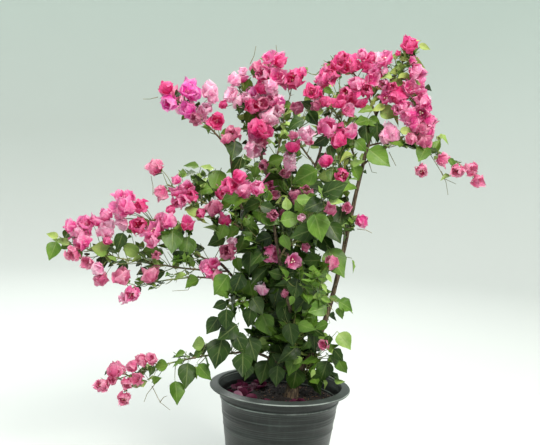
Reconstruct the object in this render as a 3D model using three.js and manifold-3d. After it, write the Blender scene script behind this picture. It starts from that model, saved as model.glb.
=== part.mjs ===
// A bougainvillea bush in its plastic nursery pot, about 0.99 m tall and 0.89 m wide.
// Millimetres, +Z up, -Y to the front. The origin is at the middle of the pot's flat underside.
//
// The pot and the potting mix are turned shapes. A short woody trunk climbs through the leafy column, and
// boughs leave it for the sprays. Each mass of foliage is one solid: a stem, side shoots, leaves and blooms
// that a seeded rule sets out, fused into one another, in a space of its own.

import * as THREE from "three";
import { mergeVertices } from "three/addons/utils/BufferGeometryUtils.js";
import Module from "manifold-3d";

const wasm = await Module();
wasm.setup();

// Pot
const POT_HEIGHT = 250;
const POT_FACETS = 28;
const RIM_RADIUS = 150;
const RIM_DROP = 6;
const RIM_EDGE = 5;
const MOUTH_RADIUS = 132;
const BASE_RADIUS = 96;
const BODY_TOP = 218;
const BODY_TOP_RADIUS = 125;
const WALL = 2.5;
const FLOOR = 5;
const FOOT_CHAMFER = 3;
const BEAD_HEIGHT = 4;
const BEAD_PROUD = 2.5;
const DRAIN_COUNT = 6;
const DRAIN_RADIUS = 6;
const DRAIN_CIRCLE = 62;

// Potting mix
const SOIL_TOP = 222;
const SOIL_FALL = 5;
const SOIL_FLAT_RADIUS = 62;

// Clearances: between two solids that touch on the plant, and round a leaf that comes close to another mass
const SEAT_GAP = 0.3;
const LEAF_GAP = 0.8;
const TWIG_GAP = 0.2;

// Corners closer than the weld are one corner, and edges shorter than a sliver are taken out.
const WELD = 1e-3;
const SLIVER = 0.1;

// Trunk and boughs
const TRUNK = {
  ways: [[25, 5, SOIL_TOP + SEAT_GAP], [45, 0, 370], [-5, 12, 470], [-18, 5, 632]],
  thick: 9.5,
  thin: 5.5,
};
const FLARE_SHARE = 0.1;
const FLARE_GROWTH = 0.8;
const TRUNK_SIDES = 9;
const TRUNK_STEPS = 10;
const BOUGH_SIDES = 6;
const BOUGH_STEPS = 5;

// Each bough leaves its parent at a share of the parent's length, through two handles to its tip.
const BOUGHS = [
  { name: "bough_right", on: "trunk", at: 0.1, ways: [[110, -5, 350], [118, 8, 590], [162, 10, 782]], thick: 6.5, thin: 3.6 },
  { name: "bough_crown", on: "bough_right", at: 0.95, ways: [[166, 10, 810], [174, 10, 840], [186, 10, 880]], thick: 3.4, thin: 2.4 },
  { name: "bough_middle", on: "trunk", at: 0.97, ways: [[-25, -2, 670], [-62, 0, 690], [-66, 0, 752]], thick: 4.6, thin: 3 },
  { name: "bough_left", on: "trunk", at: 0.3, ways: [[-35, -8, 365], [-80, -20, 455], [-138, -22, 506]], thick: 4.4, thin: 2.8 },
  { name: "bough_left_high", on: "trunk", at: 0.62, ways: [[-45, 5, 520], [-118, 8, 610], [-128, 0, 738]], thick: 4.2, thin: 2.6 },
  { name: "bough_low_left", on: "trunk", at: 0.12, ways: [[-5, -18, 290], [-40, -34, 336], [-96, -34, 320]], thick: 3.8, thin: 2.4 },
  { name: "bough_front", on: "trunk", at: 0.36, ways: [[20, -40, 400], [-8, -92, 480], [-30, -112, 600]], thick: 4.4, thin: 2.8 },
  { name: "bough_back", on: "trunk", at: 0.28, ways: [[40, 50, 360], [30, 118, 460], [18, 128, 630]], thick: 4.8, thin: 3 },
  { name: "bough_back_high", on: "trunk", at: 0.86, ways: [[-8, 20, 640], [50, 95, 650], [70, 112, 780]], thick: 4, thin: 2.6 },
];

// Foliage: the nodes follow one another along a stem, each a golden angle on from the last.
const GOLDEN_ANGLE = Math.PI * (3 - Math.sqrt(5));
const STEM_STEPS = 3;
const STEM_THICK = 2.4;
const STEM_THIN = 1.2;
const SHOOT_THICK = 1.5;
const FIRST_NODE = 0.14;
const LAST_NODE = 0.98;
const SHOOT_FORWARD = 0.75;
const SHOOT_SHORTER = 0.4;
const LEAF_SHARES = [0.5, 0.86];
const LEAF_WIDTH_SHARE = 0.72;
const LEAF_THICK_SHARE = 0.03;
const LEAF_FOLD = 0.16;
const BRACTS = 3;
const BLOOM_SIZE = 60;
const BRACT_TIP = [0.56, 0.26];
const BRACT_SEAM = [0.38, 0.34];
const CUP_DEPTH = 0.12;

// The masses that climb the trunk: each leaves it a golden angle and a step higher than the last.
const COLUMN = { count: 11, low: 0.06, high: 0.97, out: 84, narrow: 0.75, lean: -16, rise: 62, arch: -0.1, reach: 60, nodes: 9, leaf: 82, seed: 11 };

// The sprays. Each row has the limb it springs from and where, its tip and how high it arches on the way,
// the reach of its shoots, its count of nodes, the share of its length where blooms begin, the leaf's
// length and a seed.
const SPRAYS = [
  { name: "spray_top_middle", on: "bough_middle", at: 1, tip: [-58, -5, 922], arch: -0.05, reach: 42, nodes: 10, bloom: 0.05, leaf: 54, seed: 21 },
  { name: "spray_top_middle_left", on: "bough_middle", at: 0.72, tip: [-122, 22, 885], arch: -0.05, reach: 38, nodes: 9, bloom: 0.1, leaf: 54, seed: 22 },
  { name: "spray_top_middle_right", on: "bough_middle", at: 0.45, tip: [-4, 18, 905], arch: 0, reach: 36, nodes: 8, bloom: 0.25, leaf: 57, seed: 23 },
  { name: "spray_left_high", on: "bough_left_high", at: 1, tip: [-268, -38, 852], arch: 0.1, reach: 32, nodes: 9, bloom: 0.2, leaf: 52, seed: 24 },
  { name: "spray_left_shoulder", on: "bough_left_high", at: 0.72, tip: [-205, 10, 662], arch: 0.15, reach: 32, nodes: 6, bloom: 2, leaf: 57, seed: 25 },
  { name: "spray_left_upper", on: "bough_left_high", at: 0.42, tip: [-255, -42, 668], arch: 0.05, reach: 48, nodes: 10, bloom: 0.25, leaf: 62, seed: 26 },
  { name: "spray_left_middle", on: "bough_left", at: 1, tip: [-285, -45, 590], arch: -0.1, reach: 46, nodes: 10, bloom: 0.3, leaf: 69, seed: 27 },
  { name: "spray_left_outer", on: "bough_left", at: 0.9, tip: [-460, -60, 540], arch: -0.05, reach: 62, nodes: 12, bloom: 0.42, leaf: 66, seed: 28 },
  { name: "spray_left_hanging", on: "bough_left", at: 0.78, tip: [-330, -60, 445], arch: 0.1, reach: 42, nodes: 7, bloom: 0.6, leaf: 59, seed: 29 },
  { name: "spray_left_inner", on: "bough_left", at: 0.42, tip: [-105, -55, 425], arch: 0.45, reach: 44, nodes: 7, bloom: 2, leaf: 66, seed: 49 },
  { name: "spray_low_left", on: "bough_low_left", at: 1, tip: [-360, -68, 250], arch: 0.05, reach: 46, nodes: 9, bloom: 0.5, leaf: 72, seed: 30 },
  { name: "spray_right_arch", on: "bough_crown", at: 0.55, tip: [40, -6, 905], arch: 0.5, reach: 36, nodes: 9, bloom: 0.15, leaf: 50, seed: 31 },
  { name: "spray_right_crest", on: "bough_crown", at: 1, tip: [232, 10, 962], arch: 0, reach: 34, nodes: 8, bloom: 0.2, leaf: 54, seed: 32 },
  { name: "spray_right_inner", on: "bough_right", at: 0.86, tip: [35, -35, 868], arch: 0.25, reach: 42, nodes: 10, bloom: 0.25, leaf: 57, seed: 33 },
  { name: "spray_right_outer", on: "bough_crown", at: 0.8, tip: [262, 0, 862], arch: 0.3, reach: 46, nodes: 9, bloom: 0.15, leaf: 52, seed: 34 },
  { name: "spray_right_low", on: "bough_right", at: 0.9, tip: [272, -26, 772], arch: 0.25, reach: 40, nodes: 6, bloom: 0.2, leaf: 59, seed: 35 },
  { name: "spray_right_tip", on: "bough_right", at: 0.97, tip: [388, 0, 708], arch: 0.2, reach: 34, nodes: 8, bloom: 0.45, leaf: 52, seed: 36 },
  { name: "spray_right_under", on: "bough_right", at: 0.7, tip: [58, -62, 790], arch: 0.3, reach: 44, nodes: 8, bloom: 0.3, leaf: 64, seed: 37 },
  { name: "spray_right_shoulder", on: "bough_right", at: 0.55, tip: [128, -46, 640], arch: 0.35, reach: 40, nodes: 6, bloom: 0.7, leaf: 66, seed: 38 },
  { name: "spray_front_row", on: "bough_front", at: 1, tip: [-112, -138, 672], arch: 0.1, reach: 44, nodes: 8, bloom: 0.3, leaf: 62, seed: 39 },
  { name: "spray_front_right", on: "bough_front", at: 0.8, tip: [72, -180, 655], arch: 0.15, reach: 50, nodes: 7, bloom: 0.7, leaf: 69, seed: 40 },
  { name: "spray_front_low", on: "bough_front", at: 0.55, tip: [62, -204, 480], arch: 0.1, reach: 50, nodes: 8, bloom: 0.85, leaf: 72, seed: 51 },
  { name: "spray_front_high", on: "bough_middle", at: 0.25, tip: [12, -125, 800], arch: 0, reach: 46, nodes: 6, bloom: 0.4, leaf: 62, seed: 42 },
  { name: "spray_back_high", on: "bough_back_high", at: 1, tip: [110, 185, 890], arch: 0.1, reach: 52, nodes: 7, bloom: 0.15, leaf: 57, seed: 43 },
  { name: "spray_back_crown", on: "bough_back_high", at: 0.8, tip: [-55, 190, 830], arch: 0.05, reach: 48, nodes: 7, bloom: 0.25, leaf: 59, seed: 44 },
  { name: "spray_back_right", on: "bough_back_high", at: 0.6, tip: [165, 282, 710], arch: 0.05, reach: 52, nodes: 8, bloom: 0.35, leaf: 64, seed: 45 },
  { name: "spray_back_left", on: "bough_back", at: 1, tip: [-110, 288, 680], arch: 0.2, reach: 54, nodes: 8, bloom: 0.35, leaf: 64, seed: 46 },
  { name: "spray_back_middle", on: "bough_back", at: 0.75, tip: [55, 305, 570], arch: 0.15, reach: 52, nodes: 8, bloom: 0.5, leaf: 69, seed: 47 },
  { name: "spray_back_low", on: "bough_back", at: 0.45, tip: [-25, 250, 405], arch: 0.15, reach: 48, nodes: 7, bloom: 0.7, leaf: 72, seed: 48 },
];

// Finishes, as colours read off the plant
const FINISH = {
  pot: new THREE.MeshStandardMaterial({ color: 0x3c4240, roughness: 0.55, metalness: 0 }),
  soil: new THREE.MeshStandardMaterial({ color: 0x2c1c18, roughness: 0.95, metalness: 0 }),
  bark: new THREE.MeshStandardMaterial({ color: 0x6a5238, roughness: 0.85, metalness: 0 }),
  leafy: new THREE.MeshStandardMaterial({ color: 0x3d7434, roughness: 0.5, metalness: 0 }),
  bloom: new THREE.MeshStandardMaterial({ color: 0xe2548f, roughness: 0.6, metalness: 0 }),
};

// Mixes two numbers.
const mix = (a, b, share) => a + (b - a) * share;

// A stream of numbers from 0 to 1 that is always the same for one seed.
function stream(seed) {
  const MODULUS = 2147483647;
  let state = (seed * 7919 + 104729) % MODULUS;
  const next = () => {
    state = (state * 48271) % MODULUS;
    return state / MODULUS;
  };
  next();
  return next;
}

// A closed geometry as a solid that can be joined and cut.
function solidOf(geometry) {
  const bare = geometry.clone();
  bare.deleteAttribute("normal");
  bare.deleteAttribute("uv");
  const merged = mergeVertices(bare, WELD);
  return new wasm.Manifold(
    new wasm.Mesh({
      numProp: 3,
      vertProperties: new Float32Array(merged.attributes.position.array),
      triVerts: new Uint32Array(merged.index.array),
    }),
  );
}

function geometryOf(solid) {
  const { vertProperties, triVerts } = solid.getMesh();
  const geometry = new THREE.BufferGeometry();
  geometry.setAttribute("position", new THREE.BufferAttribute(new Float32Array(vertProperties), 3));
  geometry.setIndex(new THREE.BufferAttribute(new Uint32Array(triVerts), 1));
  return geometry;
}

// A solid as a named mesh.
function meshOf(name, solid, material) {
  const geometry = geometryOf(solid);
  geometry.computeVertexNormals();
  const mesh = new THREE.Mesh(geometry, material);
  mesh.name = name;
  return mesh;
}

// A profile of [radius, height] points turned about the Z axis.
function turned(profile) {
  const points = profile.map(([radius, height]) => new THREE.Vector2(radius, height));
  return new THREE.LatheGeometry(points, POT_FACETS).rotateX(Math.PI / 2);
}

const bodyRadius = (height) => mix(BASE_RADIUS, BODY_TOP_RADIUS, height / BODY_TOP);

function pot() {
  const beadTop = BODY_TOP + BEAD_HEIGHT;
  const lipUnder = POT_HEIGHT - RIM_DROP - RIM_EDGE;
  const profile = [
    [0, 0],
    [BASE_RADIUS - FOOT_CHAMFER, 0],
    [bodyRadius(FOOT_CHAMFER), FOOT_CHAMFER],
    [BODY_TOP_RADIUS, BODY_TOP],
    [BODY_TOP_RADIUS + BEAD_PROUD, BODY_TOP + 1],
    [BODY_TOP_RADIUS + BEAD_PROUD, beadTop],
    [BODY_TOP_RADIUS + 2, beadTop + 1],
    [BODY_TOP_RADIUS + 4, lipUnder - 7],
    [RIM_RADIUS - 1, lipUnder],
    [RIM_RADIUS, POT_HEIGHT - RIM_DROP],
    [MOUTH_RADIUS + 3, POT_HEIGHT],
    [MOUTH_RADIUS, POT_HEIGHT - 1],
    [BODY_TOP_RADIUS + 1, lipUnder - 5],
    [BODY_TOP_RADIUS - WALL, BODY_TOP],
    [bodyRadius(FLOOR) - WALL, FLOOR],
    [0, FLOOR],
  ];
  let solid = solidOf(turned(profile));
  const drain = new THREE.CylinderGeometry(DRAIN_RADIUS, DRAIN_RADIUS, 4 * FLOOR, 8).rotateX(Math.PI / 2);
  for (let i = 0; i < DRAIN_COUNT; i++) {
    const turn = (2 * Math.PI * i) / DRAIN_COUNT;
    const hole = drain.clone().translate(DRAIN_CIRCLE * Math.cos(turn), DRAIN_CIRCLE * Math.sin(turn), 0);
    solid = solid.subtract(solidOf(hole));
  }
  return solid;
}

function pottingMix() {
  const low = FLOOR + SEAT_GAP;
  const edge = SOIL_TOP - SOIL_FALL;
  const side = (height) => bodyRadius(height) - WALL - 2 * SEAT_GAP;
  return solidOf(turned([[0, low], [side(low), low], [side(edge), edge], [SOIL_FLAT_RADIUS, SOIL_TOP], [0, SOIL_TOP]]));
}

const vector = (point) => new THREE.Vector3(...point);
const UP = vector([0, 0, 1]);

// A smooth route from a foot, past two handles, to a tip.
const route = (foot, ways) => new THREE.CubicBezierCurve3(foot, ...ways.map(vector));

// A route to a tip that rises on the way, or sags if its arch is negative.
function archedRoute(foot, tip, arch) {
  const run = vector(tip).sub(foot);
  const lift = UP.clone().multiplyScalar(arch * run.length());
  const handle = (share) => foot.clone().addScaledVector(run, share).add(lift);
  return new THREE.CubicBezierCurve3(foot, handle(1 / 3), handle(2 / 3), vector(tip));
}

// The place at a share of a bar's route, on the straight steps that it is bent in, and the way it runs there.
function onBar(curve, steps, share) {
  const step = Math.min(Math.floor(share * steps), steps - 1);
  const [from, to] = [curve.getPoint(step / steps), curve.getPoint((step + 1) / steps)];
  return [from.clone().lerp(to, share * steps - step), to.clone().sub(from).normalize()];
}

// A round bar bent along a route and thinning towards its tip. With a flare, its foot widens like roots.
// Extra is added to it all round and at both ends.
function bar(curve, thick, thin, sides, steps, extra = 0, flare = 0) {
  const geometry = new THREE.CylinderGeometry(thin + extra, thick + extra, 1, sides, steps);
  const frames = curve.computeFrenetFrames(steps, false);
  const places = geometry.attributes.position;
  for (let i = 0; i < places.count; i++) {
    const share = places.getY(i) + 0.5;
    const ring = Math.round(share * steps);
    const widen = 1 + flare * Math.exp(-share / FLARE_SHARE);
    const past = ring === 0 ? -extra : ring === steps ? extra : 0;
    const place = curve.getPoint(ring / steps).addScaledVector(frames.tangents[ring], past);
    place.addScaledVector(frames.normals[ring], places.getX(i) * widen);
    place.addScaledVector(frames.binormals[ring], -places.getZ(i) * widen);
    places.setXYZ(i, place.x, place.y, place.z);
  }
  return geometry;
}

// The trunk's foot is cut level, so that it stands flat on the potting mix.
function trunkSolid(curve, extra = 0) {
  const solid = solidOf(bar(curve, TRUNK.thick, TRUNK.thin, TRUNK_SIDES, TRUNK_STEPS, extra, FLARE_GROWTH));
  return solid.trimByPlane([0, 0, 1], SOIL_TOP + SEAT_GAP);
}

// A leaf or bract of length 1 along +Y: a four-cornered blade, folded a little along its middle.
function blade(widthShare, thickShare, fold) {
  const WIDEST = 0.42;
  const geometry = new THREE.OctahedronGeometry(1);
  const places = geometry.attributes.position;
  for (let i = 0; i < places.count; i++) {
    const [x, y, z] = [places.getX(i), places.getY(i), places.getZ(i)];
    const along = y > 0.5 ? 1 : y < -0.5 ? 0 : WIDEST;
    places.setXYZ(i, (x * widthShare) / 2, along, (z * thickShare) / 2 + Math.abs(x) * fold * widthShare);
  }
  return solidOf(geometry);
}

// The matrix that lays a shape's +Y along one way and turns its +Z to face as near another as it can.
function laid(place, along, facing, size) {
  const y = along.clone().normalize();
  const x = new THREE.Vector3().crossVectors(y, facing).normalize();
  const z = new THREE.Vector3().crossVectors(x, y);
  return new THREE.Matrix4().makeBasis(x, y, z).scale(new THREE.Vector3(size, size, size)).setPosition(place).elements;
}

const LEAF = blade(LEAF_WIDTH_SHARE, LEAF_THICK_SHARE, LEAF_FOLD);

// A bloom of size 1 that opens along +Y: three broad bracts in one shallow cup, on its point.
function bloomCup() {
  const ring = (turn, [out, high]) => [out * Math.sin(turn), high, out * Math.cos(turn)];
  const corners = [0, 0, 0, 0, CUP_DEPTH, 0];
  const faces = [];
  for (let k = 0; k < BRACTS; k++) {
    const turn = (2 * Math.PI * k) / BRACTS;
    corners.push(...ring(turn, BRACT_TIP), ...ring(turn + Math.PI / BRACTS, BRACT_SEAM));
    const tip = 2 + 2 * k;
    const seam = tip + 1;
    const next = 2 + ((2 * k + 2) % (2 * BRACTS));
    faces.push(0, next, tip, tip, next, seam, 1, tip, seam, 1, seam, next);
  }
  return new wasm.Manifold(
    new wasm.Mesh({ numProp: 3, vertProperties: new Float32Array(corners), triVerts: new Uint32Array(faces) }),
  );
}
const BLOOM = bloomCup();

const EAST = vector([1, 0, 0]);

// The way that points out from a stem at a turn about it.
function outward(tangent, turn) {
  const side = new THREE.Vector3().crossVectors(tangent, Math.abs(tangent.z) < 0.9 ? UP : EAST).normalize();
  const top = new THREE.Vector3().crossVectors(side, tangent);
  return side.multiplyScalar(Math.cos(turn)).addScaledVector(top, Math.sin(turn));
}

// What grows at the nodes of a mass's stem. Every second node bears a shoot with leaves, which ends in a
// bloom towards the stem's end, and the nodes between bear one leaf each. The stem's own tip comes first.
function nodesOf(mass) {
  const [shape, size] = mass.bloom < 1 ? [BLOOM, BLOOM_SIZE] : [LEAF, mass.leaf];
  const [tip, end] = onBar(mass.stem, STEM_STEPS, LAST_NODE);
  const nodes = [{ leaves: [shape.transform(laid(tip, end, UP, size))] }];
  const laidLeaf = (place, along, facing, random) =>
    LEAF.transform(laid(place, along, facing, mass.leaf * mix(0.85, 1.1, random())));
  for (let i = 0; i < mass.nodes; i++) {
    const random = stream(mass.seed * 100 + i);
    const share = mix(FIRST_NODE, 1, (i + 0.7) / mass.nodes);
    const [foot, tangent] = onBar(mass.stem, STEM_STEPS, share);
    const out = outward(tangent, i * GOLDEN_ANGLE + random());
    const way = out.clone().addScaledVector(tangent, SHOOT_FORWARD).addScaledVector(UP, 0.25).normalize();
    if (i % 2) {
      const facing = UP.clone().addScaledVector(tangent, 0.5).addScaledVector(out, mix(-0.3, 0.3, random()));
      nodes.push({ leaves: [laidLeaf(foot, way.clone().addScaledVector(UP, -0.4), facing, random)] });
      continue;
    }
    const length = mass.reach * (1 - SHOOT_SHORTER * share) * mix(0.8, 1.15, random());
    const tip = foot.clone().addScaledVector(way, length);
    const end = way.clone().addScaledVector(out, 0.4);
    const [shape, size] = share > mass.bloom ? [BLOOM, BLOOM_SIZE] : [LEAF, mass.leaf];
    const leaves = [shape.transform(laid(foot.clone().lerp(tip, 0.97), end, UP, size * mix(0.85, 1.05, random())))];
    LEAF_SHARES.forEach((along, k) => {
      const side = new THREE.Vector3().crossVectors(way, UP).multiplyScalar(k % 2 ? 1 : -1);
      const turned = way.clone().addScaledVector(side, 0.9).addScaledVector(UP, mix(-0.5, 0.1, random()));
      const facing = out.clone().addScaledVector(UP, mix(0.5, 1.2, random()));
      leaves.push(laidLeaf(foot.clone().lerp(tip, along), turned, facing, random));
    });
    nodes.push({ shoot: bar(new THREE.LineCurve3(foot, tip), SHOOT_THICK, SHOOT_THICK * 0.7, 3, 1), leaves });
  }
  return nodes;
}

// The shortest squared distance from a place to any of some points.
const nearest = (points, place) => Math.min(...points.map((point) => point.distanceToSquared(place)));

// Two boxes that come closer than the leaf gap.
const near = (a, b) =>
  [0, 1, 2].every((k) => a.min[k] < b.max[k] + LEAF_GAP && b.min[k] < a.max[k] + LEAF_GAP);

const boxed = (solid, owner) => ({ solid, owner, box: solid.boundingBox() });
const clear = (piece, others, gap) =>
  others.every(({ solid, box }) => !near(piece.box, box) || solid.minGap(piece.solid, gap) >= gap);

// Builds one mass in the space that is nearer to its stem than to another's, clear of all else. A shoot or
// leaf that doesn't fit, or would cross another of its own mass, is left out.
function growMass(mass, masses, obstacles) {
  const rivals = masses.filter((other) => other !== mass).flatMap((other) => other.points);
  const around = obstacles.filter((obstacle) => obstacle.owner !== mass);
  const fits = (piece) => {
    const middle = vector(piece.box.min).add(vector(piece.box.max)).multiplyScalar(0.5);
    if (nearest(rivals, middle) < nearest(mass.points, middle)) return false;
    return clear(piece, around, LEAF_GAP);
  };
  const stem = boxed(mass.stemSolid);
  const grown = [];
  for (const { shoot, leaves } of nodesOf(mass)) {
    const bears = shoot ? boxed(solidOf(shoot)) : stem;
    if (shoot && !(fits(bears) && clear(bears, grown, TWIG_GAP))) continue;
    const others = shoot ? [stem, ...grown] : [...grown];
    if (shoot) grown.push(bears);
    for (const leaf of leaves.map((solid) => boxed(solid))) {
      if (!fits(leaf) || !clear(leaf, others, TWIG_GAP)) continue;
      others.push(leaf);
      grown.push(leaf);
    }
  }
  return largest(wasm.Manifold.union([stem, ...grown].map(({ solid }) => solid)));
}

// The main piece of a joined or cut solid, without its slivers and loose scraps.
function largest(solid) {
  const pieces = solidOf(geometryOf(solid.simplify(SLIVER))).decompose();
  return pieces.reduce((best, piece) => (piece.volume() > best.volume() ? piece : best));
}

// Limbs by name: curve, thickness at a share of its length, solid, and a slightly fatter copy to seat on.
const limbs = new Map();
function addLimb(name, curve, thick, thin, make) {
  const steps = name === "trunk" ? TRUNK_STEPS : BOUGH_STEPS;
  const footAt = (share) => onBar(curve, steps, share)[0];
  limbs.set(name, { footAt, radiusAt: (share) => mix(thick, thin, share), solid: make(0), seat: make(SEAT_GAP) });
}

const trunkCurve = route(vector(TRUNK.ways[0]), TRUNK.ways.slice(1));
addLimb("trunk", trunkCurve, TRUNK.thick, TRUNK.thin, (extra) => trunkSolid(trunkCurve, extra));
for (const { name, on, at, ways, thick, thin } of BOUGHS) {
  const parent = limbs.get(on);
  const curve = route(parent.footAt(at), ways);
  addLimb(name, curve, thick, thin, (extra) =>
    largest(solidOf(bar(curve, thick, thin, BOUGH_SIDES, BOUGH_STEPS, extra)).subtract(parent.seat)),
  );
}

// The stems of the column's masses go round the trunk as they climb it.
function columnMasses() {
  const masses = [];
  for (let i = 0; i < COLUMN.count; i++) {
    const at = mix(COLUMN.low, COLUMN.high, i / (COLUMN.count - 1));
    const turn = i * GOLDEN_ANGLE;
    const foot = limbs.get("trunk").footAt(at);
    const out = COLUMN.out * mix(COLUMN.narrow, 1, i / (COLUMN.count - 1));
    const away = new THREE.Vector3(out * Math.cos(turn) + COLUMN.lean, out * Math.sin(turn), COLUMN.rise);
    masses.push({
      ...COLUMN,
      name: `column_leaves_${String(i + 1).padStart(2, "0")}`,
      on: "trunk",
      at,
      tip: foot.clone().add(away).toArray(),
      bloom: i % 4 === 2 ? 0.8 : 2,
      seed: COLUMN.seed + 60 + i,
    });
  }
  return masses;
}

const group = new THREE.Group();
const potSolid = pot();
const soilSolid = pottingMix();
group.add(meshOf("pot", potSolid, FINISH.pot));
group.add(meshOf("potting_mix", soilSolid, FINISH.soil));
for (const [name, limb] of limbs) group.add(meshOf(name, limb.solid, FINISH.bark));

const limbSeats = wasm.Manifold.union([...limbs.values()].map((limb) => limb.seat));
const obstacles = [potSolid, soilSolid, ...[...limbs.values()].map((limb) => limb.solid)].map((solid) => boxed(solid));

// All stems are there before the first leaf, so that each leaf keeps clear of every one.
const masses = [...SPRAYS, ...columnMasses()];
for (const mass of masses) {
  const limb = limbs.get(mass.on);
  mass.stem = archedRoute(limb.footAt(mass.at), mass.tip, mass.arch);
  mass.points = mass.stem.getPoints(12);
  const thick = Math.min(STEM_THICK, limb.radiusAt(mass.at) * 0.8);
  mass.stemSolid = largest(solidOf(bar(mass.stem, thick, STEM_THIN, 3, STEM_STEPS)).subtract(limbSeats));
  obstacles.push(boxed(mass.stemSolid, mass));
}
for (const mass of masses) {
  const solid = growMass(mass, masses, obstacles);
  obstacles.push(boxed(solid, mass));
  group.add(meshOf(mass.name, solid, mass.bloom < 0.5 ? FINISH.bloom : FINISH.leafy));
}

export default group;
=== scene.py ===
# %% [markdown]
# A bougainvillea bush in its plastic nursery pot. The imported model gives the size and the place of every
# limb and every mass of foliage, and this lesson dresses it: a turned pot, a bed of potting mix, bark,
# green twigs, leaves and papery blooms. Everything is in metres, +Z up, with the origin under the pot.

import math

import bmesh
import bpy
import numpy as np
from mathutils import Matrix, Vector, noise


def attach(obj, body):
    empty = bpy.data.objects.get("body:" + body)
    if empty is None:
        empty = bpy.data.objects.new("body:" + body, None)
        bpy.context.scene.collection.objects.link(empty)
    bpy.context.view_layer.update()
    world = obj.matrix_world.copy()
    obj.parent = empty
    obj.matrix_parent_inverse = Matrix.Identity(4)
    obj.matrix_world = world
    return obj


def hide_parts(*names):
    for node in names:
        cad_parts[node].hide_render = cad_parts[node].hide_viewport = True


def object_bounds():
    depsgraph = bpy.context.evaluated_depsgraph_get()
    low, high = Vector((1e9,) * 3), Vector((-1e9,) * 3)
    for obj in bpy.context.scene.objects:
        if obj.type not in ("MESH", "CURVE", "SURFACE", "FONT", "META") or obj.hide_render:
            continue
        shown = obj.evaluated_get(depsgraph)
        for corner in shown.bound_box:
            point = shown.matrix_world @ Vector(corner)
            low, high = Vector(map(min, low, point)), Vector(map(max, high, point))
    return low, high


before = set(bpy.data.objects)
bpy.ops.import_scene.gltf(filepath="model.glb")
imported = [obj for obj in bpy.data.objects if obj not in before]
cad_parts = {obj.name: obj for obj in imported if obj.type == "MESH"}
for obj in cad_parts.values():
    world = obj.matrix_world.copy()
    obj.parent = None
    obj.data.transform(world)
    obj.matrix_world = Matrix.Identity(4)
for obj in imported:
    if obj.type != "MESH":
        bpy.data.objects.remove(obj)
cad_box = [list(corner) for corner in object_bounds()]
MM = 0.001
print(len(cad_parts), "nodes in the packed model")

# %% [markdown]
# The camera comes first, because the crown is grown to the outline that is seen from it. It stands two
# metres in front of the pot at eye level, looks a little down and is held a little askew. A lens of 63.7 mm
# on a 36 mm sensor gives the photograph's narrow view.

# %% Camera
WIDTH, HEIGHT = 540, 445
LENS, SENSOR = 63.71, 36.0
CAMERA_AT = Vector((-38.6, -2000, 800.2)) * MM
PITCH, ROLL = math.radians(5.87), math.radians(2.87)

ahead = Vector((0, math.cos(PITCH), -math.sin(PITCH)))
level = Vector((0, math.sin(PITCH), math.cos(PITCH)))
right = Vector((1, 0, 0)) * math.cos(ROLL) + level * math.sin(ROLL)
above = right.cross(ahead)


def linked(name, data):
    """An object made of some data and linked to the scene."""
    body = bpy.data.objects.new(name, data)
    bpy.context.scene.collection.objects.link(body)
    return body


lens = bpy.data.cameras.new("camera")
lens.lens, lens.sensor_width, lens.sensor_fit = LENS, SENSOR, "HORIZONTAL"
camera = linked("camera", lens)
camera.matrix_world = Matrix.Translation(CAMERA_AT) @ Matrix((right, above, -ahead)).transposed().to_4x4()
bpy.context.scene.camera = camera

PIXELS = LENS / SENSOR * WIDTH


def seen_at(place):
    """The point of the picture, in pixels from its upper left corner, where a place shows."""
    away = place - CAMERA_AT
    depth = away.dot(ahead)
    return WIDTH / 2 + PIXELS * away.dot(right) / depth, HEIGHT / 2 - PIXELS * away.dot(above) / depth


def place_at(pixel, depth):
    """The place that shows at a point of the picture, at a depth in front of the camera."""
    x, y = (pixel[0] - WIDTH / 2) / PIXELS, (HEIGHT / 2 - pixel[1]) / PIXELS
    return CAMERA_AT + (ahead + right * x + above * y) * depth


print("the pot's rim shows at", [round(n) for n in seen_at(Vector((0, -0.15, 0.244)))])

# %% [markdown]
# Three small tools serve every material. Colours are written as sRGB hex values, as a paint program shows
# them, and one function turns them to the linear numbers that the shader wants. A second function adds any
# node with its settings and links: an input may be a number, a colour, a socket, or a node, whose first
# output in use is then linked. A third starts a material with an empty tree.

# %% Colours and nodes
def linear(colour):
    """A hex colour as linear red, green, blue and alpha."""
    channels = [int(colour[i : i + 2], 16) / 255 for i in (1, 3, 5)]
    return [c / 12.92 if c <= 0.04045 else ((c + 0.055) / 1.055) ** 2.4 for c in channels] + [1]


def add(tree, kind, inputs=None, **settings):
    """Adds a node, gives it its settings, and sets or links its inputs."""
    node = tree.nodes.new("ShaderNode" + kind)
    for name, value in settings.items():
        setattr(node, name, value)
    for key, value in (inputs or {}).items():
        if isinstance(value, bpy.types.Node):
            value = next(socket for socket in value.outputs if socket.enabled)
        if isinstance(value, bpy.types.NodeSocket):
            tree.links.new(value, node.inputs[key])
        else:
            node.inputs[key].default_value = linear(value) if isinstance(value, str) else value
    return node


def new_material(name):
    """A material and its node tree, which is emptied."""
    material = bpy.data.materials.new(name)
    material.use_nodes = True
    material.node_tree.nodes.clear()
    return material, material.node_tree


# %% [markdown]
# A piece of the plant is a mesh whose object sits at the origin. One function links it, gives it its
# finish, makes it ride on the plant's single body and hides the nodes of the imported model that it stands
# for.

# %% Pieces
def mesh_of(shape, name):
    """A bmesh as a mesh. The bmesh is freed."""
    mesh = bpy.data.meshes.new(name)
    shape.to_mesh(mesh)
    shape.free()
    return mesh


def piece(name, shape, material, nodes, smooth=True):
    """Makes a piece from a bmesh or a mesh, in the place of some nodes."""
    mesh = mesh_of(shape, name) if isinstance(shape, bmesh.types.BMesh) else shape
    mesh.materials.clear()
    mesh.materials.append(material)
    if smooth:
        mesh.shade_smooth()
    body = linked(name, mesh)
    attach(body, "root")
    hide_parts(*nodes)
    print(name, sum(len(face.vertices) - 2 for face in mesh.polygons), "triangles")


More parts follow.
